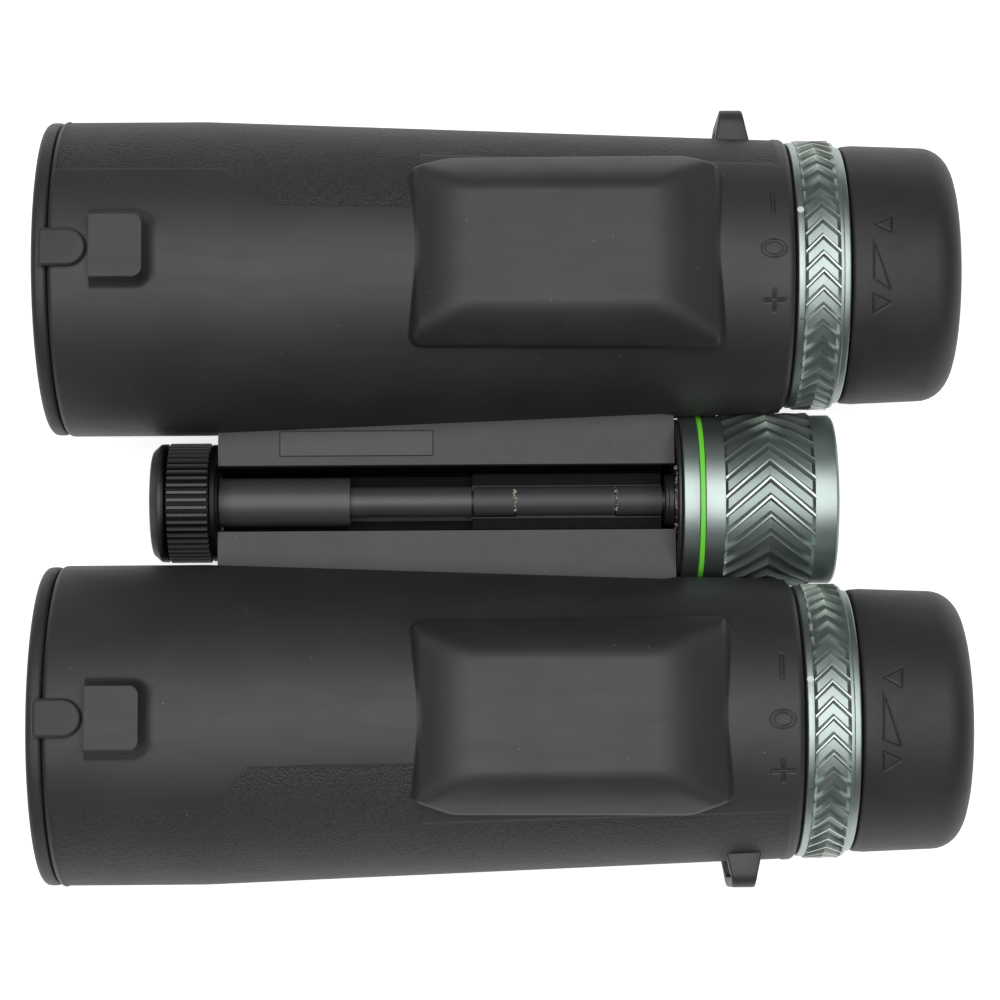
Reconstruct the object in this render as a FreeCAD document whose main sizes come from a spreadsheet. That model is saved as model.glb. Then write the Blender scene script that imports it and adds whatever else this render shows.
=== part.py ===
import FreeCAD, Part
import math
import os
from types import SimpleNamespace

import Sketcher

# A 10x42 roof-prism binocular lying on its top side, so its underside faces +Z.
# +X runs from the objectives to the eyepieces, and +Y is the user's left barrel.
# The origin is under the middle of the whole object, on the surface that it lies on.
# The barrels are fully opened: the left one folds about the hinge shaft towards +Z.

doc = FreeCAD.newDocument("binoculars")

SIZES = {
    # frame: the three long axes
    "barrel_offset": 37.15,
    "axis_height": 26.2,
    "hinge_drop": 4.65,
    "half_length": 74.6,
    # clearances
    "seat_gap": 0.03,
    "running_gap": 0.08,
    "free_gap": 0.3,
    "overshoot": 1.0,
    # rubber armour: a straight front and a slender cone behind it
    "armour_front": -72.0,
    "cone_start": -48.4,
    "cone_end": 45.7,
    "armour_rear": 47.2,
    "front_radius": 26.2,
    "rear_radius": 22.7,
    "rear_rounding": 1.5,
    "armour_wall": 1.6,
    "armour_lip": 0.8,
    "front_lip_radius": 23.1,
    "rear_lip_radius": 19.6,
    # raised rests on the armour: thumb side up, finger side down
    "rest_front": -13.7,
    "rest_rear": 35.4,
    "rest_flat_front": -7.7,
    "rest_flat_rear": 26.2,
    "rest_base_height": 17.0,
    "rest_side_foot": 19.0,
    "rest_front_height": 24.2,
    "rest_rear_height": 23.0,
    "rest_half_width": 15.0,
    "rest_flat_half_width": 8.7,
    "thumb_rest_height": 28.0,
    # cap stop: the small block behind the pull tab
    "stop_front": -65.3,
    "stop_rear": -57.0,
    "stop_half_width": 4.9,
    "stop_height": 28.8,
    # housing tube under the armour
    "housing_wall": 1.75,
    "housing_rear_wall": 2.0,
    # objective end
    "seal_section": 0.7,
    "ring_front": -68.6,
    "ring_rear": -66.6,
    "ring_bore": 20.9,
    "lens_radius": 22.4,
    "crown_edge_front": -66.2,
    "crown_vertex": -68.2,
    "crown_edge_rear": -63.9,
    "cement_vertex": -61.5,
    "flint_edge_rear": -60.6,
    "flint_vertex_rear": -60.1,
    # objective cap
    "cap_radius": 26.0,
    "cap_rear": -72.15,
    "cap_rounding": 1.2,
    "plug_radius": 22.4,
    "plug_bore": 21.2,
    "plug_rear": -69.6,
    "plug_floor": -72.8,
    "tab_front": -73.2,
    "tab_rear": -65.7,
    "tab_foot": 24.6,
    "tab_under": 26.5,
    "tab_top": 27.6,
    "tab_half_width": 3.0,
    # focusing group: a lens cell in each barrel, pulled by a rod beside the hinge
    "cell_front": -18.0,
    "cell_rear": -9.0,
    "cell_radius": 20.5,
    "cell_bore": 18.5,
    "focus_lens_front": -16.0,
    "focus_lens_rear": -11.5,
    "focus_lens_sag": 1.4,
    "arm_front": -15.5,
    "arm_rear": -11.5,
    "arm_half_height": 1.5,
    "arm_overlap": 1.2,
    "rod_offset": 9.2,
    "rod_radius": 1.2,
    "rod_rear": 35.2,
    "hook_length": 1.6,
    "hook_reach": 6.4,
    "hook_half_height": 0.96,
    "slot_margin": 4.0,
    "focus_back": 1.0,
    "focus_ahead": 4.0,
    # roof prism pair in its frame
    "frame_front": 5.0,
    "frame_flange": 38.5,
    "frame_rear": 41.0,
    "frame_radius": 18.9,
    "frame_window": 10.0,
    "frame_plate": 2.4,
    "frame_half_height": 12.5,
    "prism_half_width": 10.4,
    "prism_half_height": 11.0,
    "pechan_front": 7.0,
    "pechan_top_rear": 13.0,
    "pechan_base_rear": 22.1,
    "prism_air_gap": 0.6,
    "schmidt_rear": 36.5,
    "schmidt_cut_height": -3.0,
    "schmidt_cut_front": 28.5,
    # eyepiece
    "tube_flange_front": 42.2,
    "tube_flange_radius": 18.6,
    "tube_radius": 16.9,
    "tube_bore": 15.6,
    "tube_rear": 68.3,
    "stop_ring_front": 45.0,
    "stop_ring_rear": 46.5,
    "stop_ring_bore": 9.5,
    "eyepiece_front": 51.0,
    "eyepiece_rear": 66.6,
    "eyepiece_bore": 13.4,
    "field_lens_front": 53.0,
    "field_lens_rear": 59.0,
    "eye_lens_front": 60.6,
    "eye_lens_rear": 65.4,
    "eyepiece_lens_sag": 1.1,
    # dioptre ring
    "dioptre_front": 47.5,
    "dioptre_grip_front": 48.75,
    "dioptre_grip_rear": 54.45,
    "dioptre_rear": 56.2,
    "dioptre_flat_radius": 21.7,
    "dioptre_grip_radius": 22.2,
    "dioptre_back_radius": 21.25,
    # twist-up eyecup
    "guide_front": 57.0,
    "guide_rear": 60.0,
    "guide_radius": 18.0,
    "sleeve_front": 56.7,
    "sleeve_rear": 71.8,
    "sleeve_wall": 1.0,
    "cup_front": 56.5,
    "cup_radius": 21.0,
    "cup_lip_front": 72.0,
    "cup_lip_radius": 15.6,
    "cup_rounding": 4.6,
    # strap lug
    "lug_base_front": 35.4,
    "lug_front": 36.8,
    "lug_rear": 40.2,
    "lug_base_rear": 41.8,
    "lug_root": 20.0,
    "lug_reach": 27.1,
    "lug_bar": 1.7,
    "lug_half_height": 7.25,
    "lug_hole_half_height": 4.9,
    # hinge wings
    "wing_front": -46.9,
    "wing_rear": 28.7,
    "wing_top": 5.85,
    "wing_bottom": -7.3,
    "wing_seam": 0.3,
    "channel_half_width": 5.5,
    "channel_wall": 4.7,
    "channel_floor": -4.5,
    "web_top": -1.0,
    "knuckle_radius": 2.45,
    "knuckle_front": -4.6,
    "knuckle_middle": 2.4,
    "knuckle_back": 19.2,
    "knuckle_end": 27.0,
    "knuckle_gap": 0.2,
    # hinge shaft and what is threaded on it
    "shaft_front": -49.0,
    "shaft_radius": 2.5,
    "pin_radius": 1.6,
    "shaft_rear": 51.6,
    "front_sleeve_radius": 4.1,
    "front_sleeve_rear": -25.2,
    "boss_front": -56.4,
    "boss_rear": -47.1,
    "boss_radius": 8.0,
    "tripod_thread_radius": 3.175,
    "tripod_thread_depth": 7.0,
    "tripod_cap_front": -58.0,
    "tripod_cap_rear": -47.1,
    "tripod_cap_radius": 10.0,
    "tripod_cap_bore": 8.35,
    "tripod_cap_floor": 1.3,
    "tripod_cap_chamfer": 1.3,
    "spacer_front": 27.3,
    "spacer_rear": 29.4,
    "spacer_radius": 7.0,
    # focusing knob
    "knob_front": 29.6,
    "accent_front": 32.3,
    "accent_rear": 33.2,
    "accent_depth": 0.6,
    "accent_radius": 14.2,
    "knob_grip_front": 36.4,
    "knob_grip_rear": 51.1,
    "knob_rear": 55.0,
    "knob_flange_radius": 14.05,
    "knob_grip_radius": 14.3,
    "knob_bore": 12.05,
    "knob_web_front": 42.2,
    "knob_web_rear": 49.0,
    "knob_recess_radius": 10.0,
    "end_cap_front": 53.2,
    "end_cap_rear": 54.9,
    "retainer_front": 49.3,
    "retainer_radius": 4.5,
    "retainer_bore": 1.9,
    "carriage_front": 32.0,
    "carriage_neck_front": 33.3,
    "carriage_neck_rear": 35.5,
    "carriage_rear": 38.0,
    "carriage_flange_radius": 7.5,
    "carriage_neck_radius": 6.0,
    "carriage_radius": 11.97,
    # blank rating plate on the left wing
    "plate_front": -36.8,
    "plate_rear": -11.2,
    "plate_inner": 6.9,
    "plate_outer": 11.3,
    "plate_depth": 0.4,
}


class Size:
    """A length together with the sheet expression that gives it."""

    def __init__(self, value, text):
        self.value = value
        self.text = text

    @staticmethod
    def of(number):
        return number if isinstance(number, Size) else Size(number, repr(number))

    def joined(self, other, sign, value):
        return Size(value, f"({self.text} {sign} {Size.of(other).text})")

    def __add__(self, other):
        return self.joined(other, "+", self.value + Size.of(other).value)

    def __sub__(self, other):
        return self.joined(other, "-", self.value - Size.of(other).value)

    def __mul__(self, other):
        return self.joined(other, "*", self.value * Size.of(other).value)

    def __truediv__(self, other):
        return self.joined(other, "/", self.value / Size.of(other).value)

    def __rmul__(self, other):
        return Size.of(other) * self

    def __neg__(self):
        return -1 * self


sheet = doc.addObject("Spreadsheet::Sheet", "sizes")
for row, (alias, number) in enumerate(SIZES.items(), 1):
    sheet.set(f"A{row}", alias.replace("_", " "))
    sheet.set(f"B{row}", str(number))
    sheet.setAlias(f"B{row}", alias)
doc.recompute()
s = SimpleNamespace(**{alias: Size(number, f"sizes.{alias}") for alias, number in SIZES.items()})
ZERO = Size(0, "0")
SIDES = {"left": 1, "right": -1}
nodes = []


# ---- how a piece is drawn ---------------------------------------------------------------

def place(piece, y, z):
    """Puts a piece's own X axis at (y, z)."""
    piece.setExpression("Placement.Base.y", Size.of(y).text)
    piece.setExpression("Placement.Base.z", Size.of(z).text)


def body(label, side=0):
    """An empty body whose own X axis is a barrel's axis, or the hinge's when side is 0."""
    made = doc.addObject("PartDesign::Body", label)
    made.Label = label
    if side:
        place(made, side * s.barrel_offset, s.axis_height)
    else:
        place(made, ZERO, s.axis_height - s.hinge_drop)
    nodes.append(made)
    return made


def new_sketch(owner, plane, offset=ZERO):
    drawn = owner.newObject("Sketcher::SketchObject", "outline")
    base = next(feature for feature in owner.Origin.OriginFeatures if feature.Role == plane)
    drawn.AttachmentSupport = [(base, "")]
    drawn.MapMode = "FlatFace"
    if offset is not ZERO:
        drawn.setExpression("AttachmentOffset.Base.z", offset.text)
    return drawn


def pin_point(drawn, geometry, end, x, y):
    """Holds one end of a sketch edge at sheet-driven coordinates."""
    for kind, size, axis in (("DistanceX", x, -2), ("DistanceY", y, -1)):
        if size is ZERO:
            drawn.addConstraint(Sketcher.Constraint("PointOnObject", geometry, end, axis))
        else:
            held = Sketcher.Constraint(kind, -1, 1, geometry, end, size.value)
            index = drawn.addConstraint(held)
            drawn.setExpression(f"Constraints[{index}]", size.text)


def polygon(drawn, points):
    """A closed run of straight edges through the points."""
    count = len(points)
    corners = [FreeCAD.Vector(Size.of(x).value, Size.of(y).value, 0) for x, y in points]
    for index, corner in enumerate(corners):
        drawn.addGeometry(Part.LineSegment(corner, corners[(index + 1) % count]))
    for index in range(count):
        drawn.addConstraint(Sketcher.Constraint("Coincident", index, 2, (index + 1) % count, 1))
    for index, (x, y) in enumerate(points):
        pin_point(drawn, index, 1, x, y)


def circle(drawn, x, y, radius):
    centre = FreeCAD.Vector(x.value, y.value, 0)
    drawn.addGeometry(Part.Circle(centre, FreeCAD.Vector(0, 0, 1), radius.value))
    pin_point(drawn, 0, 3, x, y)
    index = drawn.addConstraint(Sketcher.Constraint("Radius", 0, radius.value))
    drawn.setExpression(f"Constraints[{index}]", radius.text)


def revolve(owner, drawn, cut=False):
    kind = "PartDesign::Groove" if cut else "PartDesign::Revolution"
    turned = owner.newObject(kind, "turned")
    turned.Profile = drawn
    turned.ReferenceAxis = (drawn, ["H_Axis"])
    turned.Angle = 360
    return turned


def turned_body(label, side, points):
    """A body turned about its own X axis from an (x, radius) outline."""
    made = body(label, side)
    drawn = new_sketch(made, "XZ_Plane")
    polygon(drawn, points)
    revolve(made, drawn)
    return made


def ring(label, side, front, rear, outer, inner):
    return turned_body(label, side, [(front, inner), (front, outer), (rear, outer), (rear, inner)])


def turned_cut(owner, points):
    drawn = new_sketch(owner, "XZ_Plane")
    polygon(drawn, points)
    before = volume(owner)
    revolve(owner, drawn, cut=True)
    must_shrink(owner, before)


def volume(owner):
    doc.recompute()
    return owner.Shape.Volume


def must_shrink(owner, before):
    if volume(owner) >= before:
        raise RuntimeError(f"{owner.Label}: a cut took nothing away")


def extrude(owner, plane, start, end, shape, cut=False):
    """Adds, or cuts, an outline carried along its plane's normal from start to end."""
    before = volume(owner) if cut else 0
    drawn = new_sketch(owner, plane, start)
    if len(shape) == 3 and not isinstance(shape[0], tuple):
        circle(drawn, *shape)
    else:
        polygon(drawn, shape)
    carried = owner.newObject("PartDesign::Pocket" if cut else "PartDesign::Pad", "carried")
    carried.Profile = drawn
    carried.Reversed = cut
    carried.setExpression("Length", (end - start).text)
    if cut:
        must_shrink(owner, before)
    return carried


def rectangle(low_x, high_x, low_y, high_y):
    return [(low_x, low_y), (high_x, low_y), (high_x, high_y), (low_x, high_y)]


def round_edges(owner, radius, chosen):
    """Rounds the edges of the body's last feature that the test picks."""
    doc.recompute()
    tip = owner.Tip
    names = [f"Edge{number}" for number, edge in enumerate(tip.Shape.Edges, 1) if chosen(edge)]
    if not names:
        raise RuntimeError(f"{owner.Label}: no edge to round")
    rounded = owner.newObject("PartDesign::Fillet", "rounded")
    rounded.Base = (tip, names)
    rounded.setExpression("Radius", radius.text)


def rim(x, radius):
    """A test for the circular edge of this radius at this x."""
    def chosen(edge):
        round_edge = isinstance(edge.Curve, Part.Circle)
        return round_edge and abs(edge.Curve.Radius - radius.value) < 1e-3 \
            and abs(edge.Curve.Center.x - x.value) < 1e-3
    return chosen


def cone_radius(x):
    """The armour's outer radius on its conical stretch."""
    slope = (s.rear_radius - s.front_radius) / (s.cone_end - s.cone_start)
    return s.front_radius + slope * (x - s.cone_start)


# ---- optics -------------------------------------------------------------------------------

def lens(label, side, radius, front_vertex, front_edge, rear_edge, rear_vertex):
    """A lens element turned from two spherical faces and a straight rim."""
    made = body(label, side)
    drawn = new_sketch(made, "XZ_Plane")
    rim_line = Part.LineSegment(FreeCAD.Vector(front_edge.value, radius.value, 0),
                                FreeCAD.Vector(rear_edge.value, radius.value, 0))
    core_line = Part.LineSegment(FreeCAD.Vector(front_vertex.value, 0, 0),
                                 FreeCAD.Vector(rear_vertex.value, 0, 0))
    drawn.addGeometry(rim_line)
    drawn.addGeometry(core_line)
    pin_point(drawn, 0, 1, front_edge, radius)
    pin_point(drawn, 0, 2, rear_edge, radius)
    pin_point(drawn, 1, 1, front_vertex, ZERO)
    pin_point(drawn, 1, 2, rear_vertex, ZERO)
    for number, (vertex, edge) in enumerate(((front_vertex, front_edge), (rear_vertex, rear_edge)), 1):
        v, e, r = vertex.value, edge.value, radius.value
        centre = (e * e + r * r - v * v) / (2 * (e - v))
        ball = abs(v - centre)
        tilt = math.atan2(r, e - centre) / 2 + (math.pi / 2 if v < centre else 0)
        middle = FreeCAD.Vector(centre + ball * math.cos(tilt), ball * math.sin(tilt), 0)
        face = Part.Arc(FreeCAD.Vector(v, 0, 0), middle, FreeCAD.Vector(e, r, 0))
        index = drawn.addGeometry(face)
        first = drawn.getPoint(index, 1)
        vertex_end = 1 if abs(first.y) < 1e-6 else 2
        drawn.addConstraint(Sketcher.Constraint("Coincident", index, vertex_end, 1, number))
        drawn.addConstraint(Sketcher.Constraint("Coincident", index, 3 - vertex_end, 0, number))
        drawn.addConstraint(Sketcher.Constraint("PointOnObject", index, 3, -1))
    revolve(made, drawn)
    return made


def build_objective(hand, side):
    housing_bore = s.front_radius - s.armour_wall - s.seat_gap - s.housing_wall
    ring(f"{hand}_objective_ring", side, s.ring_front, s.ring_rear,
         housing_bore - s.seat_gap, s.ring_bore)
    seal = doc.addObject("Part::Torus", f"{hand}_objective_seal")
    seal.Label = seal.Name
    seal.setExpression("Radius2", s.seal_section.text)
    seal.setExpression("Radius1", (housing_bore - s.seal_section - s.seat_gap).text)
    seal.Placement.Rotation = FreeCAD.Rotation(FreeCAD.Vector(0, 1, 0), 90)
    seal.setExpression("Placement.Base.x", (s.flint_edge_rear + s.seal_section + s.seat_gap).text)
    place(seal, side * s.barrel_offset, s.axis_height)
    nodes.append(seal)
    lens(f"{hand}_objective_crown", side, s.lens_radius,
         s.crown_vertex, s.crown_edge_front, s.crown_edge_rear, s.cement_vertex)
    lens(f"{hand}_objective_flint", side, s.lens_radius, s.cement_vertex + s.seat_gap,
         s.crown_edge_rear + s.seat_gap, s.flint_edge_rear, s.flint_vertex_rear - s.free_gap)


def build_focus_group(hand, side):
    """The moving lens cell, its arm through the barrel wall, and the pull rod by the hinge."""
    cell = ring(f"{hand}_focus_cell", side, s.cell_front, s.cell_rear, s.cell_radius, s.cell_bore)
    reach = side * (s.rod_offset - s.barrel_offset)
    edge = -side * (s.cell_radius - s.arm_overlap)
    low, high = (edge, reach) if side < 0 else (reach, edge)
    middle = -s.hinge_drop
    extrude(cell, "YZ_Plane", s.arm_front, s.arm_rear,
            rectangle(low, high, middle - s.arm_half_height, middle + s.arm_half_height))
    extrude(cell, "YZ_Plane", s.arm_front - s.free_gap, s.arm_rear + s.free_gap,
            (reach, middle, s.rod_radius + s.seat_gap), cut=True)
    lens(f"{hand}_focus_lens", side, s.cell_bore - s.seat_gap,
         s.focus_lens_front, s.focus_lens_front - s.focus_lens_sag,
         s.focus_lens_rear + s.focus_lens_sag, s.focus_lens_rear)
    rod = body(f"{hand}_focus_rod")
    extrude(rod, "YZ_Plane", s.arm_front, s.rod_rear, (side * s.rod_offset, ZERO, s.rod_radius))
    low, high = sorted((side * s.hook_reach, side * s.rod_offset), key=lambda size: size.value)
    extrude(rod, "YZ_Plane", s.rod_rear - s.hook_length, s.rod_rear,
            rectangle(low, high, -s.hook_half_height, s.hook_half_height))


def build_prisms(hand, side):
    frame = ring(f"{hand}_prism_frame", side, s.frame_flange, s.frame_rear,
                 s.frame_radius, s.frame_window)
    for face in (-1, 1):
        near = face * (s.prism_half_width + s.seat_gap)
        far = near + face * s.frame_plate
        low, high = (near, far) if face > 0 else (far, near)
        extrude(frame, "YZ_Plane", s.frame_front, s.frame_flange,
                rectangle(low, high, -s.frame_half_height, s.frame_half_height))
    tall = s.prism_half_height
    pechan = body(f"{hand}_pechan_prism", side)
    extrude(pechan, "XZ_Plane", -s.prism_half_width, s.prism_half_width,
            [(s.pechan_front, -tall), (s.pechan_base_rear, -tall),
             (s.pechan_top_rear, tall), (s.pechan_front, tall)])
    schmidt = body(f"{hand}_schmidt_prism", side)
    extrude(schmidt, "XZ_Plane", -s.prism_half_width, s.prism_half_width,
            [(s.pechan_base_rear + s.prism_air_gap, -tall), (s.schmidt_cut_front, -tall),
             (s.schmidt_rear, s.schmidt_cut_height), (s.schmidt_rear, tall),
             (s.pechan_top_rear + s.prism_air_gap, tall)])


def build_eyepiece(hand, side):
    turned_body(f"{hand}_eyepiece_tube", side, [
        (s.tube_flange_front, s.tube_bore), (s.tube_flange_front, s.tube_flange_radius),
        (s.armour_rear - s.armour_lip - s.housing_rear_wall - s.seat_gap * 2, s.tube_flange_radius),
        (s.armour_rear - s.armour_lip - s.housing_rear_wall - s.seat_gap * 2, s.tube_radius),
        (s.tube_rear, s.tube_radius), (s.tube_rear, s.tube_bore)])
    ring(f"{hand}_field_stop", side, s.stop_ring_front, s.stop_ring_rear,
         s.tube_bore - s.seat_gap, s.stop_ring_bore)
    ring(f"{hand}_eyepiece_cell", side, s.eyepiece_front, s.eyepiece_rear,
         s.tube_bore - s.running_gap, s.eyepiece_bore)
    for name, front, rear in (("field_lens", s.field_lens_front, s.field_lens_rear),
                              ("eye_lens", s.eye_lens_front, s.eye_lens_rear)):
        lens(f"{hand}_{name}", side, s.eyepiece_bore - s.seat_gap, front,
             front + s.eyepiece_lens_sag, rear - s.eyepiece_lens_sag, rear)


# ---- barrel shells --------------------------------------------------------------------------

def focus_slot(owner, side, near, far):
    """Cuts the window that the focusing arm slides in."""
    low, high = sorted((side * (near - s.barrel_offset), side * (far - s.barrel_offset)),
                       key=lambda size: size.value)
    room = s.arm_half_height + s.free_gap
    extrude(owner, "YZ_Plane", s.arm_front - s.focus_back - s.free_gap,
            s.arm_rear + s.focus_ahead + s.free_gap,
            rectangle(low, high, -s.hinge_drop - room, -s.hinge_drop + room), cut=True)


def build_rest(owner, height, up):
    """A raised rest with sloping sides; up is 1 on the thumb side and -1 on the finger side."""
    base, foot, over = s.rest_base_height, s.rest_side_foot, s.overshoot
    wide, flat = s.rest_half_width, s.rest_flat_half_width
    extrude(owner, "XZ_Plane", -wide, wide,
            [(s.rest_front, up * base), (s.rest_rear, up * base),
             (s.rest_rear, up * s.rest_rear_height), (s.rest_flat_rear, up * height),
             (s.rest_flat_front, up * height), (s.rest_front, up * s.rest_front_height)])
    for edge in (-1, 1):
        extrude(owner, "YZ_Plane", s.rest_front - over, s.rest_rear + over,
                [(edge * wide, up * foot), (edge * flat, up * height),
                 (edge * flat, up * (height + over)), (edge * (wide + over), up * (height + over)),
                 (edge * (wide + over), up * foot)], cut=True)


def build_armour(hand, side):
    wall, lip = s.armour_wall, s.armour_lip
    armour = turned_body(f"{hand}_armour", side, [
        (s.armour_front, s.front_lip_radius), (s.armour_front, s.front_radius),
        (s.cone_start, s.front_radius), (s.cone_end, s.rear_radius),
        (s.armour_rear, s.rear_radius - s.rear_rounding), (s.armour_rear, s.rear_lip_radius),
        (s.armour_rear - lip, s.rear_lip_radius),
        (s.armour_rear - lip, cone_radius(s.armour_rear - lip) - wall),
        (s.cone_start, s.front_radius - wall), (s.armour_front + lip, s.front_radius - wall),
        (s.armour_front + lip, s.front_lip_radius)])
    build_rest(armour, s.thumb_rest_height, 1)
    build_rest(armour, s.front_radius, -1)
    extrude(armour, "XY_Plane", s.front_radius - wall / 2, s.stop_height,
            rectangle(s.stop_front, s.stop_rear, -s.stop_half_width, s.stop_half_width))
    hollow = cone_radius(s.armour_rear - lip) - wall
    turned_cut(armour, [
        (s.armour_front + lip, ZERO), (s.armour_front + lip, s.front_radius - wall),
        (s.cone_start, s.front_radius - wall), (s.armour_rear - lip, hollow),
        (s.armour_rear - lip, ZERO)])
    focus_slot(armour, side, s.rod_offset, s.barrel_offset - s.cell_radius)
    knob_relief = s.knob_grip_radius + s.free_gap + s.seat_gap
    extrude(armour, "YZ_Plane", s.knob_front - s.free_gap, s.armour_rear + s.overshoot,
            (*from_hinge(side, [(ZERO, ZERO)])[0], knob_relief), cut=True)


def build_housing(hand, side):
    outside = s.armour_wall + s.seat_gap
    inside = outside + s.housing_wall
    front = s.armour_front + s.armour_lip + s.seat_gap
    rear = s.armour_rear - s.armour_lip - s.seat_gap
    wall = rear - s.housing_rear_wall
    housing = turned_body(f"{hand}_housing", side, [
        (front, s.front_radius - inside), (front, s.front_radius - outside),
        (s.cone_start, s.front_radius - outside), (rear, cone_radius(rear) - outside),
        (rear, s.tube_radius + s.seat_gap), (wall, s.tube_radius + s.seat_gap),
        (wall, cone_radius(wall) - inside), (s.cone_start, s.front_radius - inside)])
    focus_slot(housing, side, s.rod_offset, s.barrel_offset - s.cell_radius + s.slot_margin)


def build_cap(hand, side):
    """Push-in rubber cap, with a pull tab that lies along the barrel."""
    front = -s.half_length
    cap = turned_body(f"{hand}_objective_cap", side, [
        (front, ZERO), (front, s.cap_radius), (s.cap_rear, s.cap_radius),
        (s.cap_rear, s.plug_radius), (s.plug_rear, s.plug_radius), (s.plug_rear, s.plug_bore),
        (s.plug_floor, s.plug_bore), (s.plug_floor, ZERO)])
    round_edges(cap, s.cap_rounding, rim(front, s.cap_radius))
    extrude(cap, "XZ_Plane", -s.tab_half_width, s.tab_half_width,
            [(s.tab_front, s.tab_foot), (s.cap_rear, s.tab_foot), (s.cap_rear, s.tab_under),
             (s.tab_rear, s.tab_under), (s.tab_rear, s.tab_top), (s.tab_front, s.tab_top)])
    round_edges(cap, s.tab_half_width - s.free_gap,
                lambda edge: edge.BoundBox.XLength < 1e-6 and edge.BoundBox.YLength < 1e-6
                and abs(edge.BoundBox.XMin - s.tab_rear.value) < 1e-6)


def build_lug(hand, side):
    lug = body(f"{hand}_strap_lug", side)
    extrude(lug, "XY_Plane", -s.lug_half_height, s.lug_half_height,
            [(s.lug_base_front, side * s.lug_root), (s.lug_front, side * s.lug_reach),
             (s.lug_rear, side * s.lug_reach), (s.lug_base_rear, side * s.lug_root)])
    low, high = sorted((side * (s.lug_root - s.overshoot), side * (s.lug_reach - s.lug_bar)),
                       key=lambda size: size.value)
    extrude(lug, "YZ_Plane", s.lug_base_front - s.overshoot, s.lug_base_rear + s.overshoot,
            rectangle(low, high, -s.lug_hole_half_height, s.lug_hole_half_height), cut=True)
    clear_barrel(lug, s.lug_base_front - s.overshoot, s.lug_base_rear + s.overshoot)
    round_edges(lug, s.lug_bar,
                lambda edge: edge.BoundBox.ZLength < 1e-6 and edge.BoundBox.YLength < 1e-6
                and abs(abs(edge.BoundBox.YMin) - s.lug_reach.value) < 1e-6)


def clear_barrel(owner, front, rear):
    """Cuts a piece back to just outside the armour's cone."""
    turned_cut(owner, [(front, ZERO), (front, cone_radius(front) + s.seat_gap),
                       (rear, cone_radius(rear) + s.seat_gap), (rear, ZERO)])


def build_dioptre_ring(hand, side):
    bore = s.tube_radius + s.running_gap
    turned_body(f"{hand}_dioptre_ring", side, [
        (s.dioptre_front, bore), (s.dioptre_front, s.dioptre_flat_radius),
        (s.dioptre_grip_front, s.dioptre_flat_radius),
        (s.dioptre_grip_front, s.dioptre_grip_radius),
        (s.dioptre_grip_rear, s.dioptre_grip_radius),
        (s.dioptre_grip_rear, s.dioptre_back_radius),
        (s.dioptre_rear, s.dioptre_back_radius), (s.dioptre_rear, bore)])


def build_eyecup(hand, side):
    """Guide on the eyepiece tube, metal sleeve turning on it, and the rubber cup."""
    ring(f"{hand}_eyecup_guide", side, s.guide_front, s.guide_rear,
         s.guide_radius, s.tube_radius + s.running_gap)
    bore = s.guide_radius + s.running_gap
    ring(f"{hand}_eyecup_sleeve", side, s.sleeve_front, s.sleeve_rear, bore + s.sleeve_wall, bore)
    inner = bore + s.sleeve_wall + s.seat_gap
    cup = turned_body(f"{hand}_eyecup_rubber", side, [
        (s.cup_front, inner), (s.cup_front, s.cup_radius), (s.half_length, s.cup_radius),
        (s.half_length, s.cup_lip_radius), (s.cup_lip_front, s.cup_lip_radius),
        (s.cup_lip_front, inner)])
    round_edges(cup, s.cup_rounding, rim(s.half_length, s.cup_radius))


# ---- hinge ------------------------------------------------------------------------------------

def from_hinge(side, points):
    """Turns (y, z) measured from the hinge axis, y outwards, into a barrel body's own (y, z)."""
    return [(side * (y - s.barrel_offset), z - s.hinge_drop) for y, z in points]


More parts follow.
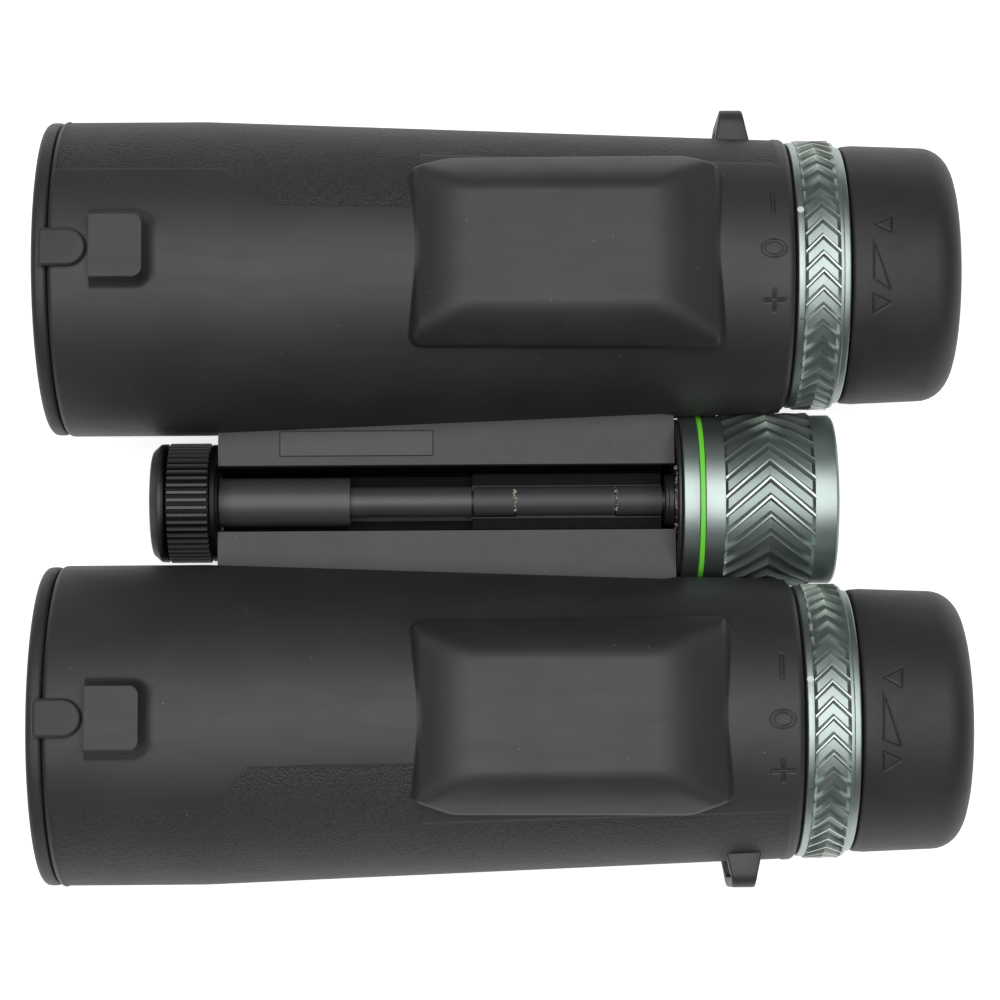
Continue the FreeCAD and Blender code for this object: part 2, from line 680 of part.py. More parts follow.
def build_wing(hand, side):
    """A hinge wing: it fills the space beside its barrel and carries its knuckles."""
    wing = body(f"{hand}_wing", side)
    far = s.barrel_offset - s.rear_radius / 2
    extrude(wing, "YZ_Plane", s.wing_front, s.wing_rear, from_hinge(side, [
        (s.wing_seam, s.wing_bottom), (far, s.wing_bottom), (far, s.wing_top),
        (s.channel_half_width, s.wing_top), (s.channel_wall, ZERO), (s.channel_wall, s.web_top),
        (s.wing_seam, s.web_top)]))
    clear_barrel(wing, s.wing_front - s.overshoot, s.wing_rear + s.overshoot)
    floor = s.channel_floor if side < 0 else -s.front_sleeve_radius - s.seat_gap
    axis_point = from_hinge(side, [(ZERO, ZERO)])[0]
    extrude(wing, "YZ_Plane", s.wing_front - s.overshoot, s.knuckle_front - s.knuckle_gap, from_hinge(side, [
        (s.wing_seam - s.overshoot, floor), (s.channel_wall, floor), (s.channel_wall, ZERO),
        (s.channel_half_width, s.wing_top), (s.channel_half_width, s.wing_top + s.overshoot),
        (s.wing_seam - s.overshoot, s.wing_top + s.overshoot)]), cut=True)
    zones = [(s.knuckle_front, s.knuckle_middle), (s.knuckle_middle, s.knuckle_back),
             (s.knuckle_back, s.knuckle_end)]
    for number, (front, rear) in enumerate(zones):
        if (number % 2 == 0) == (side > 0):
            continue
        extrude(wing, "YZ_Plane", front - s.knuckle_gap, rear + s.knuckle_gap,
                (*axis_point, s.knuckle_radius + s.free_gap), cut=True)
    extrude(wing, "YZ_Plane", s.knuckle_end - s.knuckle_gap, s.wing_rear + s.overshoot,
            (*axis_point, s.spacer_radius + s.free_gap), cut=True)
    for number, (front, rear) in enumerate(zones):
        if (number % 2 == 0) != (side > 0):
            continue
        extrude(wing, "YZ_Plane", front, rear - s.knuckle_gap, (*axis_point, s.knuckle_radius))
    hole = s.pin_radius + (s.running_gap if side > 0 else s.seat_gap)
    extrude(wing, "YZ_Plane", s.knuckle_front - s.overshoot, s.wing_rear + s.overshoot,
            (*axis_point, hole), cut=True)
    rod_point = from_hinge(side, [(s.rod_offset, ZERO)])[0]
    extrude(wing, "YZ_Plane", s.arm_front - s.focus_back - s.free_gap, s.wing_rear + s.overshoot,
            (*rod_point, s.rod_radius + s.free_gap), cut=True)
    focus_slot(wing, side, s.rod_offset, s.barrel_offset - s.cell_radius)
    return wing


def build_rating_plate():
    """The blank plate let into the left wing's upper face."""
    wing = next(node for node in nodes if node.Label == "left_wing")
    outer, inner = s.plate_outer - s.barrel_offset, s.plate_inner - s.barrel_offset
    top = s.wing_top - s.hinge_drop
    extrude(wing, "XY_Plane", top - s.plate_depth, top + s.overshoot,
            rectangle(s.plate_front, s.plate_rear, inner, outer), cut=True)
    plate = body("rating_plate", 1)
    gap = s.seat_gap
    extrude(plate, "XY_Plane", top - s.plate_depth + gap, top,
            rectangle(s.plate_front + gap, s.plate_rear - gap, inner + gap, outer - gap))


def build_hinge_line():
    turned_body("hinge_shaft", 0, [
        (s.shaft_front, ZERO), (s.shaft_front, s.shaft_radius),
        (s.knuckle_front - 2 * s.knuckle_gap, s.shaft_radius),
        (s.knuckle_front - 2 * s.knuckle_gap, s.pin_radius),
        (s.spacer_front - s.seat_gap, s.pin_radius), (s.spacer_front - s.seat_gap, s.shaft_radius),
        (s.retainer_front - s.seat_gap, s.shaft_radius),
        (s.retainer_front - s.seat_gap, s.retainer_bore), (s.shaft_rear, s.retainer_bore),
        (s.shaft_rear, ZERO)])
    ring("front_hinge_sleeve", 0, s.wing_front, s.front_sleeve_rear,
         s.front_sleeve_radius, s.shaft_radius + s.running_gap)
    thread_end = s.boss_front + s.tripod_thread_depth
    turned_body("tripod_socket", 0, [
        (s.boss_front, s.tripod_thread_radius), (s.boss_front, s.boss_radius),
        (s.boss_rear, s.boss_radius), (s.boss_rear, s.shaft_radius + s.seat_gap),
        (s.shaft_front - s.seat_gap, s.shaft_radius + s.seat_gap),
        (s.shaft_front - s.seat_gap, ZERO), (thread_end, ZERO),
        (thread_end, s.tripod_thread_radius)])
    chamfer = s.tripod_cap_chamfer
    turned_body("tripod_cap", 0, [
        (s.tripod_cap_front, ZERO), (s.tripod_cap_front, s.tripod_cap_radius - chamfer),
        (s.tripod_cap_front + chamfer, s.tripod_cap_radius),
        (s.tripod_cap_rear, s.tripod_cap_radius), (s.tripod_cap_rear, s.tripod_cap_bore),
        (s.tripod_cap_front + s.tripod_cap_floor, s.tripod_cap_bore),
        (s.tripod_cap_front + s.tripod_cap_floor, ZERO)])
    ring("knob_spacer", 0, s.spacer_front, s.spacer_rear,
         s.spacer_radius, s.shaft_radius + s.seat_gap)
    ring("knob_retainer", 0, s.retainer_front, s.shaft_rear,
         s.retainer_radius, s.retainer_bore + s.seat_gap)


# ---- focusing knob ------------------------------------------------------------------------------

def build_knob():
    flange, groove = s.knob_flange_radius, s.accent_radius - s.accent_depth
    bore = s.shaft_radius + s.running_gap
    knob = turned_body("focus_knob", 0, [
        (s.knob_front, s.knob_bore), (s.knob_front, flange), (s.accent_front, flange),
        (s.accent_front, groove - s.seat_gap), (s.accent_rear, groove - s.seat_gap),
        (s.accent_rear, flange), (s.knob_grip_front, flange),
        (s.knob_grip_front, s.knob_grip_radius), (s.knob_grip_rear, s.knob_grip_radius),
        (s.knob_grip_rear, flange), (s.knob_rear, flange), (s.knob_rear, s.knob_recess_radius),
        (s.knob_web_rear, s.knob_recess_radius), (s.knob_web_rear, bore),
        (s.knob_web_front, bore), (s.knob_web_front, s.knob_bore)])
    round_edges(knob, s.accent_depth, rim(s.knob_rear, flange))
    gap = s.seat_gap
    ring("knob_accent_ring", 0, s.accent_front + gap, s.accent_rear - gap, s.accent_radius, groove)
    turned_body("knob_end_cap", 0, [
        (s.end_cap_front, ZERO), (s.end_cap_front, s.knob_recess_radius - gap),
        (s.end_cap_rear, s.knob_recess_radius - gap), (s.end_cap_rear, ZERO)])
    turned_body("focus_carriage", 0, [
        (s.carriage_front, bore), (s.carriage_front, s.carriage_flange_radius),
        (s.carriage_neck_front, s.carriage_flange_radius),
        (s.carriage_neck_front, s.carriage_neck_radius),
        (s.carriage_neck_rear, s.carriage_neck_radius), (s.carriage_neck_rear, s.carriage_radius),
        (s.carriage_rear, s.carriage_radius), (s.carriage_rear, bore)])


for hand, side in SIDES.items():
    build_armour(hand, side)
    build_housing(hand, side)
    build_cap(hand, side)
    build_objective(hand, side)
    build_focus_group(hand, side)
    build_prisms(hand, side)
    build_eyepiece(hand, side)
    build_dioptre_ring(hand, side)
    build_eyecup(hand, side)
    build_lug(hand, side)
    build_wing(hand, side)
build_rating_plate()
build_hinge_line()
build_knob()
doc.recompute()

for item in doc.Objects:
    if {"Invalid", "Error"} & set(item.State):
        raise RuntimeError(f"{item.Label}: {item.State}")
for node in nodes:
    if node.Shape.isNull() or not node.Shape.isValid():
        raise RuntimeError(f"{node.Label}: shape is not valid")
    if len(node.Shape.Solids) != 1:
        raise RuntimeError(f"{node.Label}: {len(node.Shape.Solids)} solids")

os.makedirs("parts", exist_ok=True)
for node in nodes:
    node.Shape.exportStep(f"parts/{node.Label}.step")
print(f"{len(nodes)} nodes written")
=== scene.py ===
import math

import bmesh
import bpy
import numpy as np
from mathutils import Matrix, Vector


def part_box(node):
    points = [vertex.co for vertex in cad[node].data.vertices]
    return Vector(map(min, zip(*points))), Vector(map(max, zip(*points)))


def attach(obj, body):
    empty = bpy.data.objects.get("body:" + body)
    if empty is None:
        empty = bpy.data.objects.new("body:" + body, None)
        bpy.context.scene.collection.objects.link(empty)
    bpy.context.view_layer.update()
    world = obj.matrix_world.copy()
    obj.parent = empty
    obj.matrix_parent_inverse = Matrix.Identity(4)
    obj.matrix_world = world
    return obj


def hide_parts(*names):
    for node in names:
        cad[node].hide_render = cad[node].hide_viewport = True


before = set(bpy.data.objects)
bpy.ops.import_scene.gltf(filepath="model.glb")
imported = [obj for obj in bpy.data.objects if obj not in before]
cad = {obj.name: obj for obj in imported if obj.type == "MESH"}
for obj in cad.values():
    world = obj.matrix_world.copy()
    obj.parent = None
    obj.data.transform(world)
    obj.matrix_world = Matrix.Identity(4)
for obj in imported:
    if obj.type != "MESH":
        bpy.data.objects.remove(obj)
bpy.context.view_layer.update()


# ---- table, light and camera ----
# The binoculars lie on their top side on a white table. A broad soft box hangs over them, and
# the camera looks down at them from half a metre, a little to the right barrel's side.

camera = bpy.data.objects.new("camera", bpy.data.cameras.new("camera"))
camera.location = (-0.00520, -0.05742, 0.50147)
camera.rotation_euler = [math.radians(turn) for turn in (6.852, -0.543, -0.4355)]
camera.data.lens = 103.94
camera.data.sensor_width = 36.0
camera.data.clip_start = 0.01
bpy.context.scene.collection.objects.link(camera)
bpy.context.scene.camera = camera

lamp = bpy.data.lights.new("overhead_box", "AREA")
lamp.shape = "RECTANGLE"
lamp.size = 0.80
lamp.size_y = 0.80
lamp.energy = 6.6
overhead_box = bpy.data.objects.new("overhead_box", lamp)
overhead_box.location = (0.0, -0.01, 0.75)
towards_middle = Vector((0.0, 0.0, 0.0)) - overhead_box.location
overhead_box.rotation_euler = towards_middle.to_track_quat("-Z", "Y").to_euler()
bpy.context.scene.collection.objects.link(overhead_box)

world = bpy.data.worlds.new("studio")
world.use_nodes = True
world.node_tree.nodes["Background"].inputs["Color"].default_value = (1.0, 1.0, 1.0, 1.0)
world.node_tree.nodes["Background"].inputs["Strength"].default_value = 0.01
bpy.context.scene.world = world
bpy.context.scene.view_settings.view_transform = "Standard"


class Signal:
    """One socket in a material; sums and products written on it become Math nodes."""

    def __init__(self, tree, socket=None):
        self.tree = tree
        self.socket = socket

    def node(self, kind, settings=None, values=None, output=0):
        """Adds a node: its settings are set first, then its sockets' values or links."""
        made = self.tree.nodes.new("ShaderNode" + kind)
        for name, setting in (settings or {}).items():
            setattr(made, name, setting)
        for name, value in (values or {}).items():
            if isinstance(value, Signal):
                self.tree.links.new(value.socket, made.inputs[name])
            else:
                made.inputs[name].default_value = value
        return Signal(self.tree, made.outputs[output])

    def maths(self, operation, first, second):
        return self.node("Math", {"operation": operation}, {0: first, 1: second})

    def __add__(self, other):
        return self.maths("ADD", self, other)

    def __sub__(self, other):
        return self.maths("SUBTRACT", self, other)

    def __mul__(self, other):
        return self.maths("MULTIPLY", self, other)

    def __rsub__(self, other):
        return self.maths("SUBTRACT", other, self)

    __radd__ = __add__
    __rmul__ = __mul__

    def ramp(self, low, high, start=0.0, end=1.0):
        """Goes smoothly from start to end as this value goes from low to high, and no further."""
        return self.node("MapRange", {"interpolation_type": "SMOOTHSTEP"}, {
            "Value": self, "From Min": low, "From Max": high, "To Min": start, "To Max": end})

    def blend(self, colour, other):
        """Mixes two colours by this value."""
        return self.node("Mix", {"data_type": "RGBA"}, {0: self, 6: colour, 7: other}, 2)


def tone(red, green, blue):
    """A paint colour in sRGB steps of 0 to 255, as linear light."""
    steps = np.array([red, green, blue]) / 255
    linear = np.where(steps <= 0.04045, steps / 12.92, ((steps + 0.055) / 1.055) ** 2.4)
    return (*linear.tolist(), 1.0)


class Finish:
    """A material with its Principled shader and the position on the piece in millimetres."""

    def __init__(self, name, constants=None):
        self.material = bpy.data.materials.new(name)
        self.material.use_nodes = True
        self.tree = self.material.node_tree
        self.shader = self.tree.nodes["Principled BSDF"]
        self.start = Signal(self.tree)
        metres = self.start.node("TexCoord", output="Object")
        self.spot = self.start.node("VectorMath", {"operation": "SCALE"},
                                    {0: metres, "Scale": 1000.0})
        for socket, value in (constants or {}).items():
            self.set(socket, value)

    def set(self, socket, value):
        if isinstance(value, Signal):
            self.tree.links.new(value.socket, self.shader.inputs[socket])
        else:
            self.shader.inputs[socket].default_value = value

    def noise(self, size, detail=2.0, spot=None):
        """Soft random values from 0 to 1, with features of a size in millimetres."""
        return self.start.node("TexNoise", {}, {
            "Vector": spot or self.spot, "Scale": 1.0 / size, "Detail": detail})

    def stretched(self, x, y, z):
        """The position squeezed along each axis, for marks that run one way."""
        return self.start.node("VectorMath", {"operation": "MULTIPLY"},
                               {0: self.spot, 1: (x, y, z)})

    def cells(self, size):
        """Distance from the middle of the nearest of many random cells."""
        return self.start.node("TexVoronoi", {}, {
            "Vector": self.spot, "Scale": 1.0 / size}, "Distance")

    def specks(self, spacing, radius):
        """1 on tiny specks scattered over the piece, and 0 elsewhere."""
        return self.cells(spacing).ramp(radius / spacing, 0.5 * radius / spacing)

    def painted(self, name):
        """A value stored on the mesh's points."""
        return self.start.node("Attribute", {"attribute_name": name}, output="Fac")

    def relief(self, height, depth):
        """Raises the surface by a height signal times a depth in millimetres."""
        self.set("Normal", self.start.node("Bump", {}, {
            "Height": height, "Distance": depth * 0.001, "Strength": 1.0}))

    def sheen(self, level, spread, size, detail=2.0):
        """Sets a roughness that soft noise raises by up to a spread."""
        self.set("Roughness", level + spread * self.noise(size, detail))

    def grain(self, size, depth, detail=2.0):
        """Gives the surface a fine even grain; size and depth are in millimetres."""
        self.relief(self.noise(size, detail), depth)

    def mottle(self, size, dark, light, detail=2.0):
        """Sets the base colour to two paint tones mixed by soft noise."""
        self.set("Base Color", self.noise(size, detail).blend(tone(*dark), tone(*light)))


table_finish = Finish("table_white", {"Roughness": 0.8, "Emission Strength": 0.75,
                                      "Emission Color": (1.0, 1.0, 1.0, 1.0)})
table_finish.mottle(40.0, (226, 226, 226), (230, 230, 230))
table_reach = 4.0
table_mesh = bpy.data.meshes.new("table")
table_mesh.from_pydata([(x * table_reach, y * table_reach, 0.0)
                        for x, y in ((-1, -1), (1, -1), (1, 1), (-1, 1))], [], [(0, 1, 2, 3)])
table = bpy.data.objects.new("table", table_mesh)
table.data.materials.append(table_finish.material)
bpy.context.scene.collection.objects.link(table)


# ---- rubber armour ----
# A black soft-touch rubber sleeve moulded over each barrel. It carries a smooth raised thumb
# rest, a matching finger rest, the stop block for the cap's pull tab, a finely grained outer
# flank one step lower, and the sunk minus, zero and plus of the dioptre scale.

SIDES = {"left": 1, "right": -1}


def middle(node):
    """The (y, z) middle of a node in millimetres."""
    low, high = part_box(node)
    return (500 * (low.y + high.y), 500 * (low.z + high.z))


AXES = {hand: middle(f"{hand}_objective_ring") for hand in SIDES}
AXES["hinge"] = middle("focus_knob")


def smooth_step(value):
    value = np.clip(value, 0, 1)
    return value * value * (3 - 2 * value)


def least(first, second, reach):
    """The lower of two surfaces, with a rounded corner where they meet."""
    near = np.maximum(reach - np.abs(first - second), 0) / reach
    return np.minimum(first, second) - near * near * reach / 4


def most(first, second, reach):
    return -least(-first, -second, reach)


def spaced(marks):
    """Grid lines from (start, spacing) stretches; the last entry is the end."""
    lines = []
    for (start, spacing), (end, _) in zip(marks, marks[1:]):
        count = max(1, round((end - start) / spacing))
        lines.append(np.linspace(start, end, count, endpoint=False))
    return np.concatenate([*lines, [marks[-1][0]]])


def rounded(corners, steps=4):
    """A closed outline through (x, y) or (x, y, rounding) corners."""
    points = []
    for index, corner in enumerate(corners):
        here = np.array(corner[:2], float)
        if len(corner) == 2:
            points.append(here)
            continue
        before = np.array(corners[index - 1][:2], float) - here
        after = np.array(corners[(index + 1) % len(corners)][:2], float) - here
        before = before / np.linalg.norm(before)
        after = after / np.linalg.norm(after)
        half = math.acos(np.clip(before @ after, -1, 1)) / 2
        cut = corner[2] / math.tan(half)
        inwards = (before + after) / np.linalg.norm(before + after)
        centre = here + inwards * corner[2] / math.sin(half)
        start = here + before * cut - centre
        end = here + after * cut - centre
        sweep = math.pi - 2 * half
        for share in np.linspace(0, 1, steps + 1):
            points.append(centre + (start * math.sin((1 - share) * sweep)
                                    + end * math.sin(share * sweep)) / math.sin(sweep))
    return np.array(points)


def grid_faces(rows, columns, wrap_rows=True):
    row, column = np.meshgrid(np.arange(rows if wrap_rows else rows - 1), np.arange(columns),
                              indexing="ij")
    below = (row + 1) % rows
    beside = (column + 1) % columns
    return np.stack([row * columns + column, row * columns + beside,
                     below * columns + beside, below * columns + column], -1).reshape(-1, 4)


def piece(name, points, faces, body, finish, stands_for=(), sharp=38.0, values=None):
    """A closed mesh from points in millimetres, given its body, its finish and its place."""
    mesh = bpy.data.meshes.new(name)
    mesh.from_pydata((np.asarray(points, float).reshape(-1, 3) * 0.001).tolist(), [],
                     [list(map(int, face)) for face in faces])
    for title, numbers in (values or {}).items():
        mesh.attributes.new(title, "FLOAT", "POINT").data.foreach_set(
            "value", np.asarray(numbers, np.float32).ravel())
    shape = bmesh.new()
    shape.from_mesh(mesh)
    bmesh.ops.remove_doubles(shape, verts=shape.verts, dist=1e-7)
    loose = [vertex for vertex in shape.verts if not vertex.link_faces]
    bmesh.ops.delete(shape, geom=loose, context="VERTS")
    if shape.calc_volume(signed=True) < 0:
        bmesh.ops.reverse_faces(shape, faces=shape.faces)
    shape.to_mesh(mesh)
    shape.free()
    mesh.shade_smooth()
    mesh.set_sharp_from_angle(angle=math.radians(sharp))
    made = bpy.data.objects.new(name, mesh)
    made.data.materials.append(finish.material)
    bpy.context.scene.collection.objects.link(made)
    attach(made, body)
    if stands_for:
        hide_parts(*stands_for)


def around(axis, x, radius, angle):
    """Points round an axis; the angle is in degrees from +Z towards +Y."""
    y, z = AXES[axis]
    turn = np.radians(angle)
    x, radius, turn = np.broadcast_arrays(x, radius, turn)
    return np.stack([x, y + radius * np.sin(turn), z + radius * np.cos(turn)], -1)


def turned(name, axis, corners, body, finish, stands_for=(), columns=128):
    """A turned piece from a closed (x, radius) outline."""
    outline = rounded(corners)
    angle = np.arange(columns) * 360 / columns
    points = around(axis, outline[:, :1], outline[:, 1:], angle[None, :])
    piece(name, points, grid_faces(len(outline), columns), body, finish, stands_for)


def dress(finish, *nodes):
    """Gives kept CAD nodes their finish."""
    for node in nodes:
        cad[node].data.materials.clear()
        cad[node].data.materials.append(finish.material)


def dress_both(finish, *parts):
    """Gives kept CAD nodes of both barrels their finish."""
    dress(finish, *[f"{hand}_{part}" for hand in SIDES for part in parts])


armour_front, cone_start, cone_end, armour_rear = -72.0, -48.4, 45.7, 47.2
front_radius, rear_radius = 26.2, 22.7
armour_wall, armour_lip = 1.6, 0.8
front_lip_radius, rear_lip_radius = 23.1, 19.6
thumb_rest_top, finger_rest_top = 28.0, 26.18
block_front, block_rear, block_half_width, block_top = -65.1, -56.7, 4.95, 28.7
grain_step = 0.16
slot_front, slot_rear, slot_angles = -16.8, -7.2, (96.5, 105.2)


def cone(x):
    share = (np.asarray(x, float) - cone_start) / (cone_end - cone_start)
    return front_radius + (rear_radius - front_radius) * np.maximum(share, 0)


def plan_distance(x, y, front, rear, half_width, corner):
    """Signed distance in the flat to a rounded rectangle."""
    out_x = np.abs(x - (front + rear) / 2) - (rear - front) / 2 + corner
    out_y = np.abs(y) - half_width + corner
    outside = np.hypot(np.maximum(out_x, 0), np.maximum(out_y, 0))
    return outside + np.minimum(np.maximum(out_x, out_y), 0) - corner


def rest(x, turn, height, side):
    """A raised rest: a flat top, domed long sides, sloping ends and a low steep wall round it."""
    upright = np.maximum(np.cos(turn), 0.05)
    radius = 26.0 + 0 * x * turn
    for _ in range(10):
        share = np.clip((np.abs(radius * np.sin(turn)) - 8.4) / 6.5, 0, 1.6)
        shape = least(height - 5.6 * share ** 1.8, height + (x + 8.0) * 3.1 / 5.4, 2.0)
        shape = least(shape, height - (x - 26.7) * 4.7 / 7.7, 2.2)
        radius = (radius + shape / upright) / 2
    across = cone(x) * np.sin(turn)
    half_length = 24.4 + 1.15 * np.minimum(np.abs(across) / 14.0, 1.2) ** 2
    along = (x - 10.6) * 24.3 / half_length
    outline = plan_distance(along, across, -24.3, 24.3, 15.0, 2.2)
    outer_corner = ((side * across - 12.8) * 6.4 - (24.3 - np.abs(along)) * 2.2) / 6.77
    wall = cone(x) + 0.25 - 2.8 * most(outline, outer_corner, 0.4)
    return least(radius, wall, 1.3)


def stroke(x, y, start, end):
    """Distance from points to a straight stroke."""
    (start_x, start_y), (end_x, end_y) = start, end
    run_x, run_y = end_x - start_x, end_y - start_y
    share = np.clip(((x - start_x) * run_x + (y - start_y) * run_y)
                    / (run_x ** 2 + run_y ** 2), 0, 1)
    return np.hypot(x - start_x - share * run_x, y - start_y - share * run_y)


def outline_distance(x, y, corners):
    return np.min([stroke(x, y, corners[index - 1], corners[index])
                   for index in range(len(corners))], 0)


# Where the marks of the scale sit on each barrel, in degrees round it.
SCALE_MARKS = {
    "left": {"minus": (14.6, 25.2), "zero": 0.3, "plus": -21.1},
    "right": {"minus": (14.6, 25.2), "zero": -1.9, "plus": -22.9},
}
scale_line = 43.7
stroke_width = 0.17
mark_depth = 0.10


def scale_engraving(hand, x, angle):
    """1 in the sunk strokes of the dioptre scale."""
    marks = SCALE_MARKS[hand]
    arc = np.radians(angle) * cone(scale_line)
    along = x - scale_line
    start, end = np.radians(marks["minus"]) * cone(scale_line)
    minus = np.abs(plan_distance(along, arc - (start + end) / 2, -0.30, 0.30,
                                 (end - start) / 2, 0.2))
    zero_arc = arc - np.radians(marks["zero"]) * cone(scale_line)
    oval = (np.hypot(along / 1.72, zero_arc / 1.27) - 1) * 1.45
    zero = np.abs(np.abs(oval) - 0.27)
    plus_arc = arc - np.radians(marks["plus"]) * cone(scale_line)
    bars = np.minimum(plan_distance(along, plus_arc, -1.85, 1.85, 0.22, 0.1),
                      plan_distance(along, plus_arc, -0.22, 0.22, 1.85, 0.1))
    nearest = np.minimum(np.minimum(minus, zero), np.abs(bars))
    return smooth_step((stroke_width - nearest) / (0.6 * stroke_width))


# The grained flank starts at these (x, degrees) points; below the barrel it is the mirror image.
FLANK_EDGES = {
    "left": ((-72.0, 31.5), (-44.0, 31.5), (-36.0, 16.0), (-13.0, 16.0), (-12.9, 42.0),
             (47.2, 42.0)),
    "right": ((-72.0, 33.5), (-47.0, 33.5), (-39.7, 17.3), (-13.0, 17.5), (-12.9, 42.0),
              (47.2, 42.0)),
}

armour_rubber = Finish("armour_rubber", {"Specular IOR Level": 0.54})
grained = armour_rubber.painted("grained")
pebble = armour_rubber.cells(0.40)
fine_grain = armour_rubber.noise(0.09, 3.0)
cloud = armour_rubber.noise(14.0, 3.0)
scuffs = armour_rubber.noise(2.2, 4.0, armour_rubber.stretched(0.25, 1.0, 1.0))
skin_tone = cloud.ramp(0.3, 0.7).blend(tone(42, 41, 44), tone(48, 47, 50))
# Painted shade: on the grained flank, the low borders between the pebbles are blended towards a
# darker tone.
painted_pit_shade = (grained * pebble.ramp(0.25, 0.75)) * 0.55
skin_tone = painted_pit_shade.blend(skin_tone, tone(22, 21, 22))
# Painted shade: the sunk strokes of the dioptre scale are blended towards near black.
skin_tone = (armour_rubber.painted("engraved") * 0.45).blend(skin_tone, tone(14, 13, 14))
skin_tone = (armour_rubber.specks(3.4, 0.13) * 0.6).blend(skin_tone, tone(150, 146, 140))
armour_rubber.set("Base Color", skin_tone)
armour_rubber.set("Roughness", 0.5 + 0.08 * grained + 0.10 * scuffs)
armour_rubber.relief(fine_grain * (1 - grained) * 0.10 + (1 - pebble) * grained, 0.13)

armour_lines = spaced([
    (armour_front + 0.9, 0.6), (-66.6, 0.16), (-55.6, 0.9), (-45.2, 0.5), (-34.8, 0.9),
    (-16.8, 0.3), (-15.0, 0.12), (-12.6, 0.2), (-7.2, 0.25), (-5.4, 1.1), (24.0, 0.3),
    (29.3, 0.3), (34.2, 0.12), (36.9, 0.8), (40.9, 0.11), (46.0, 0.2), (46.2, 0.2)])


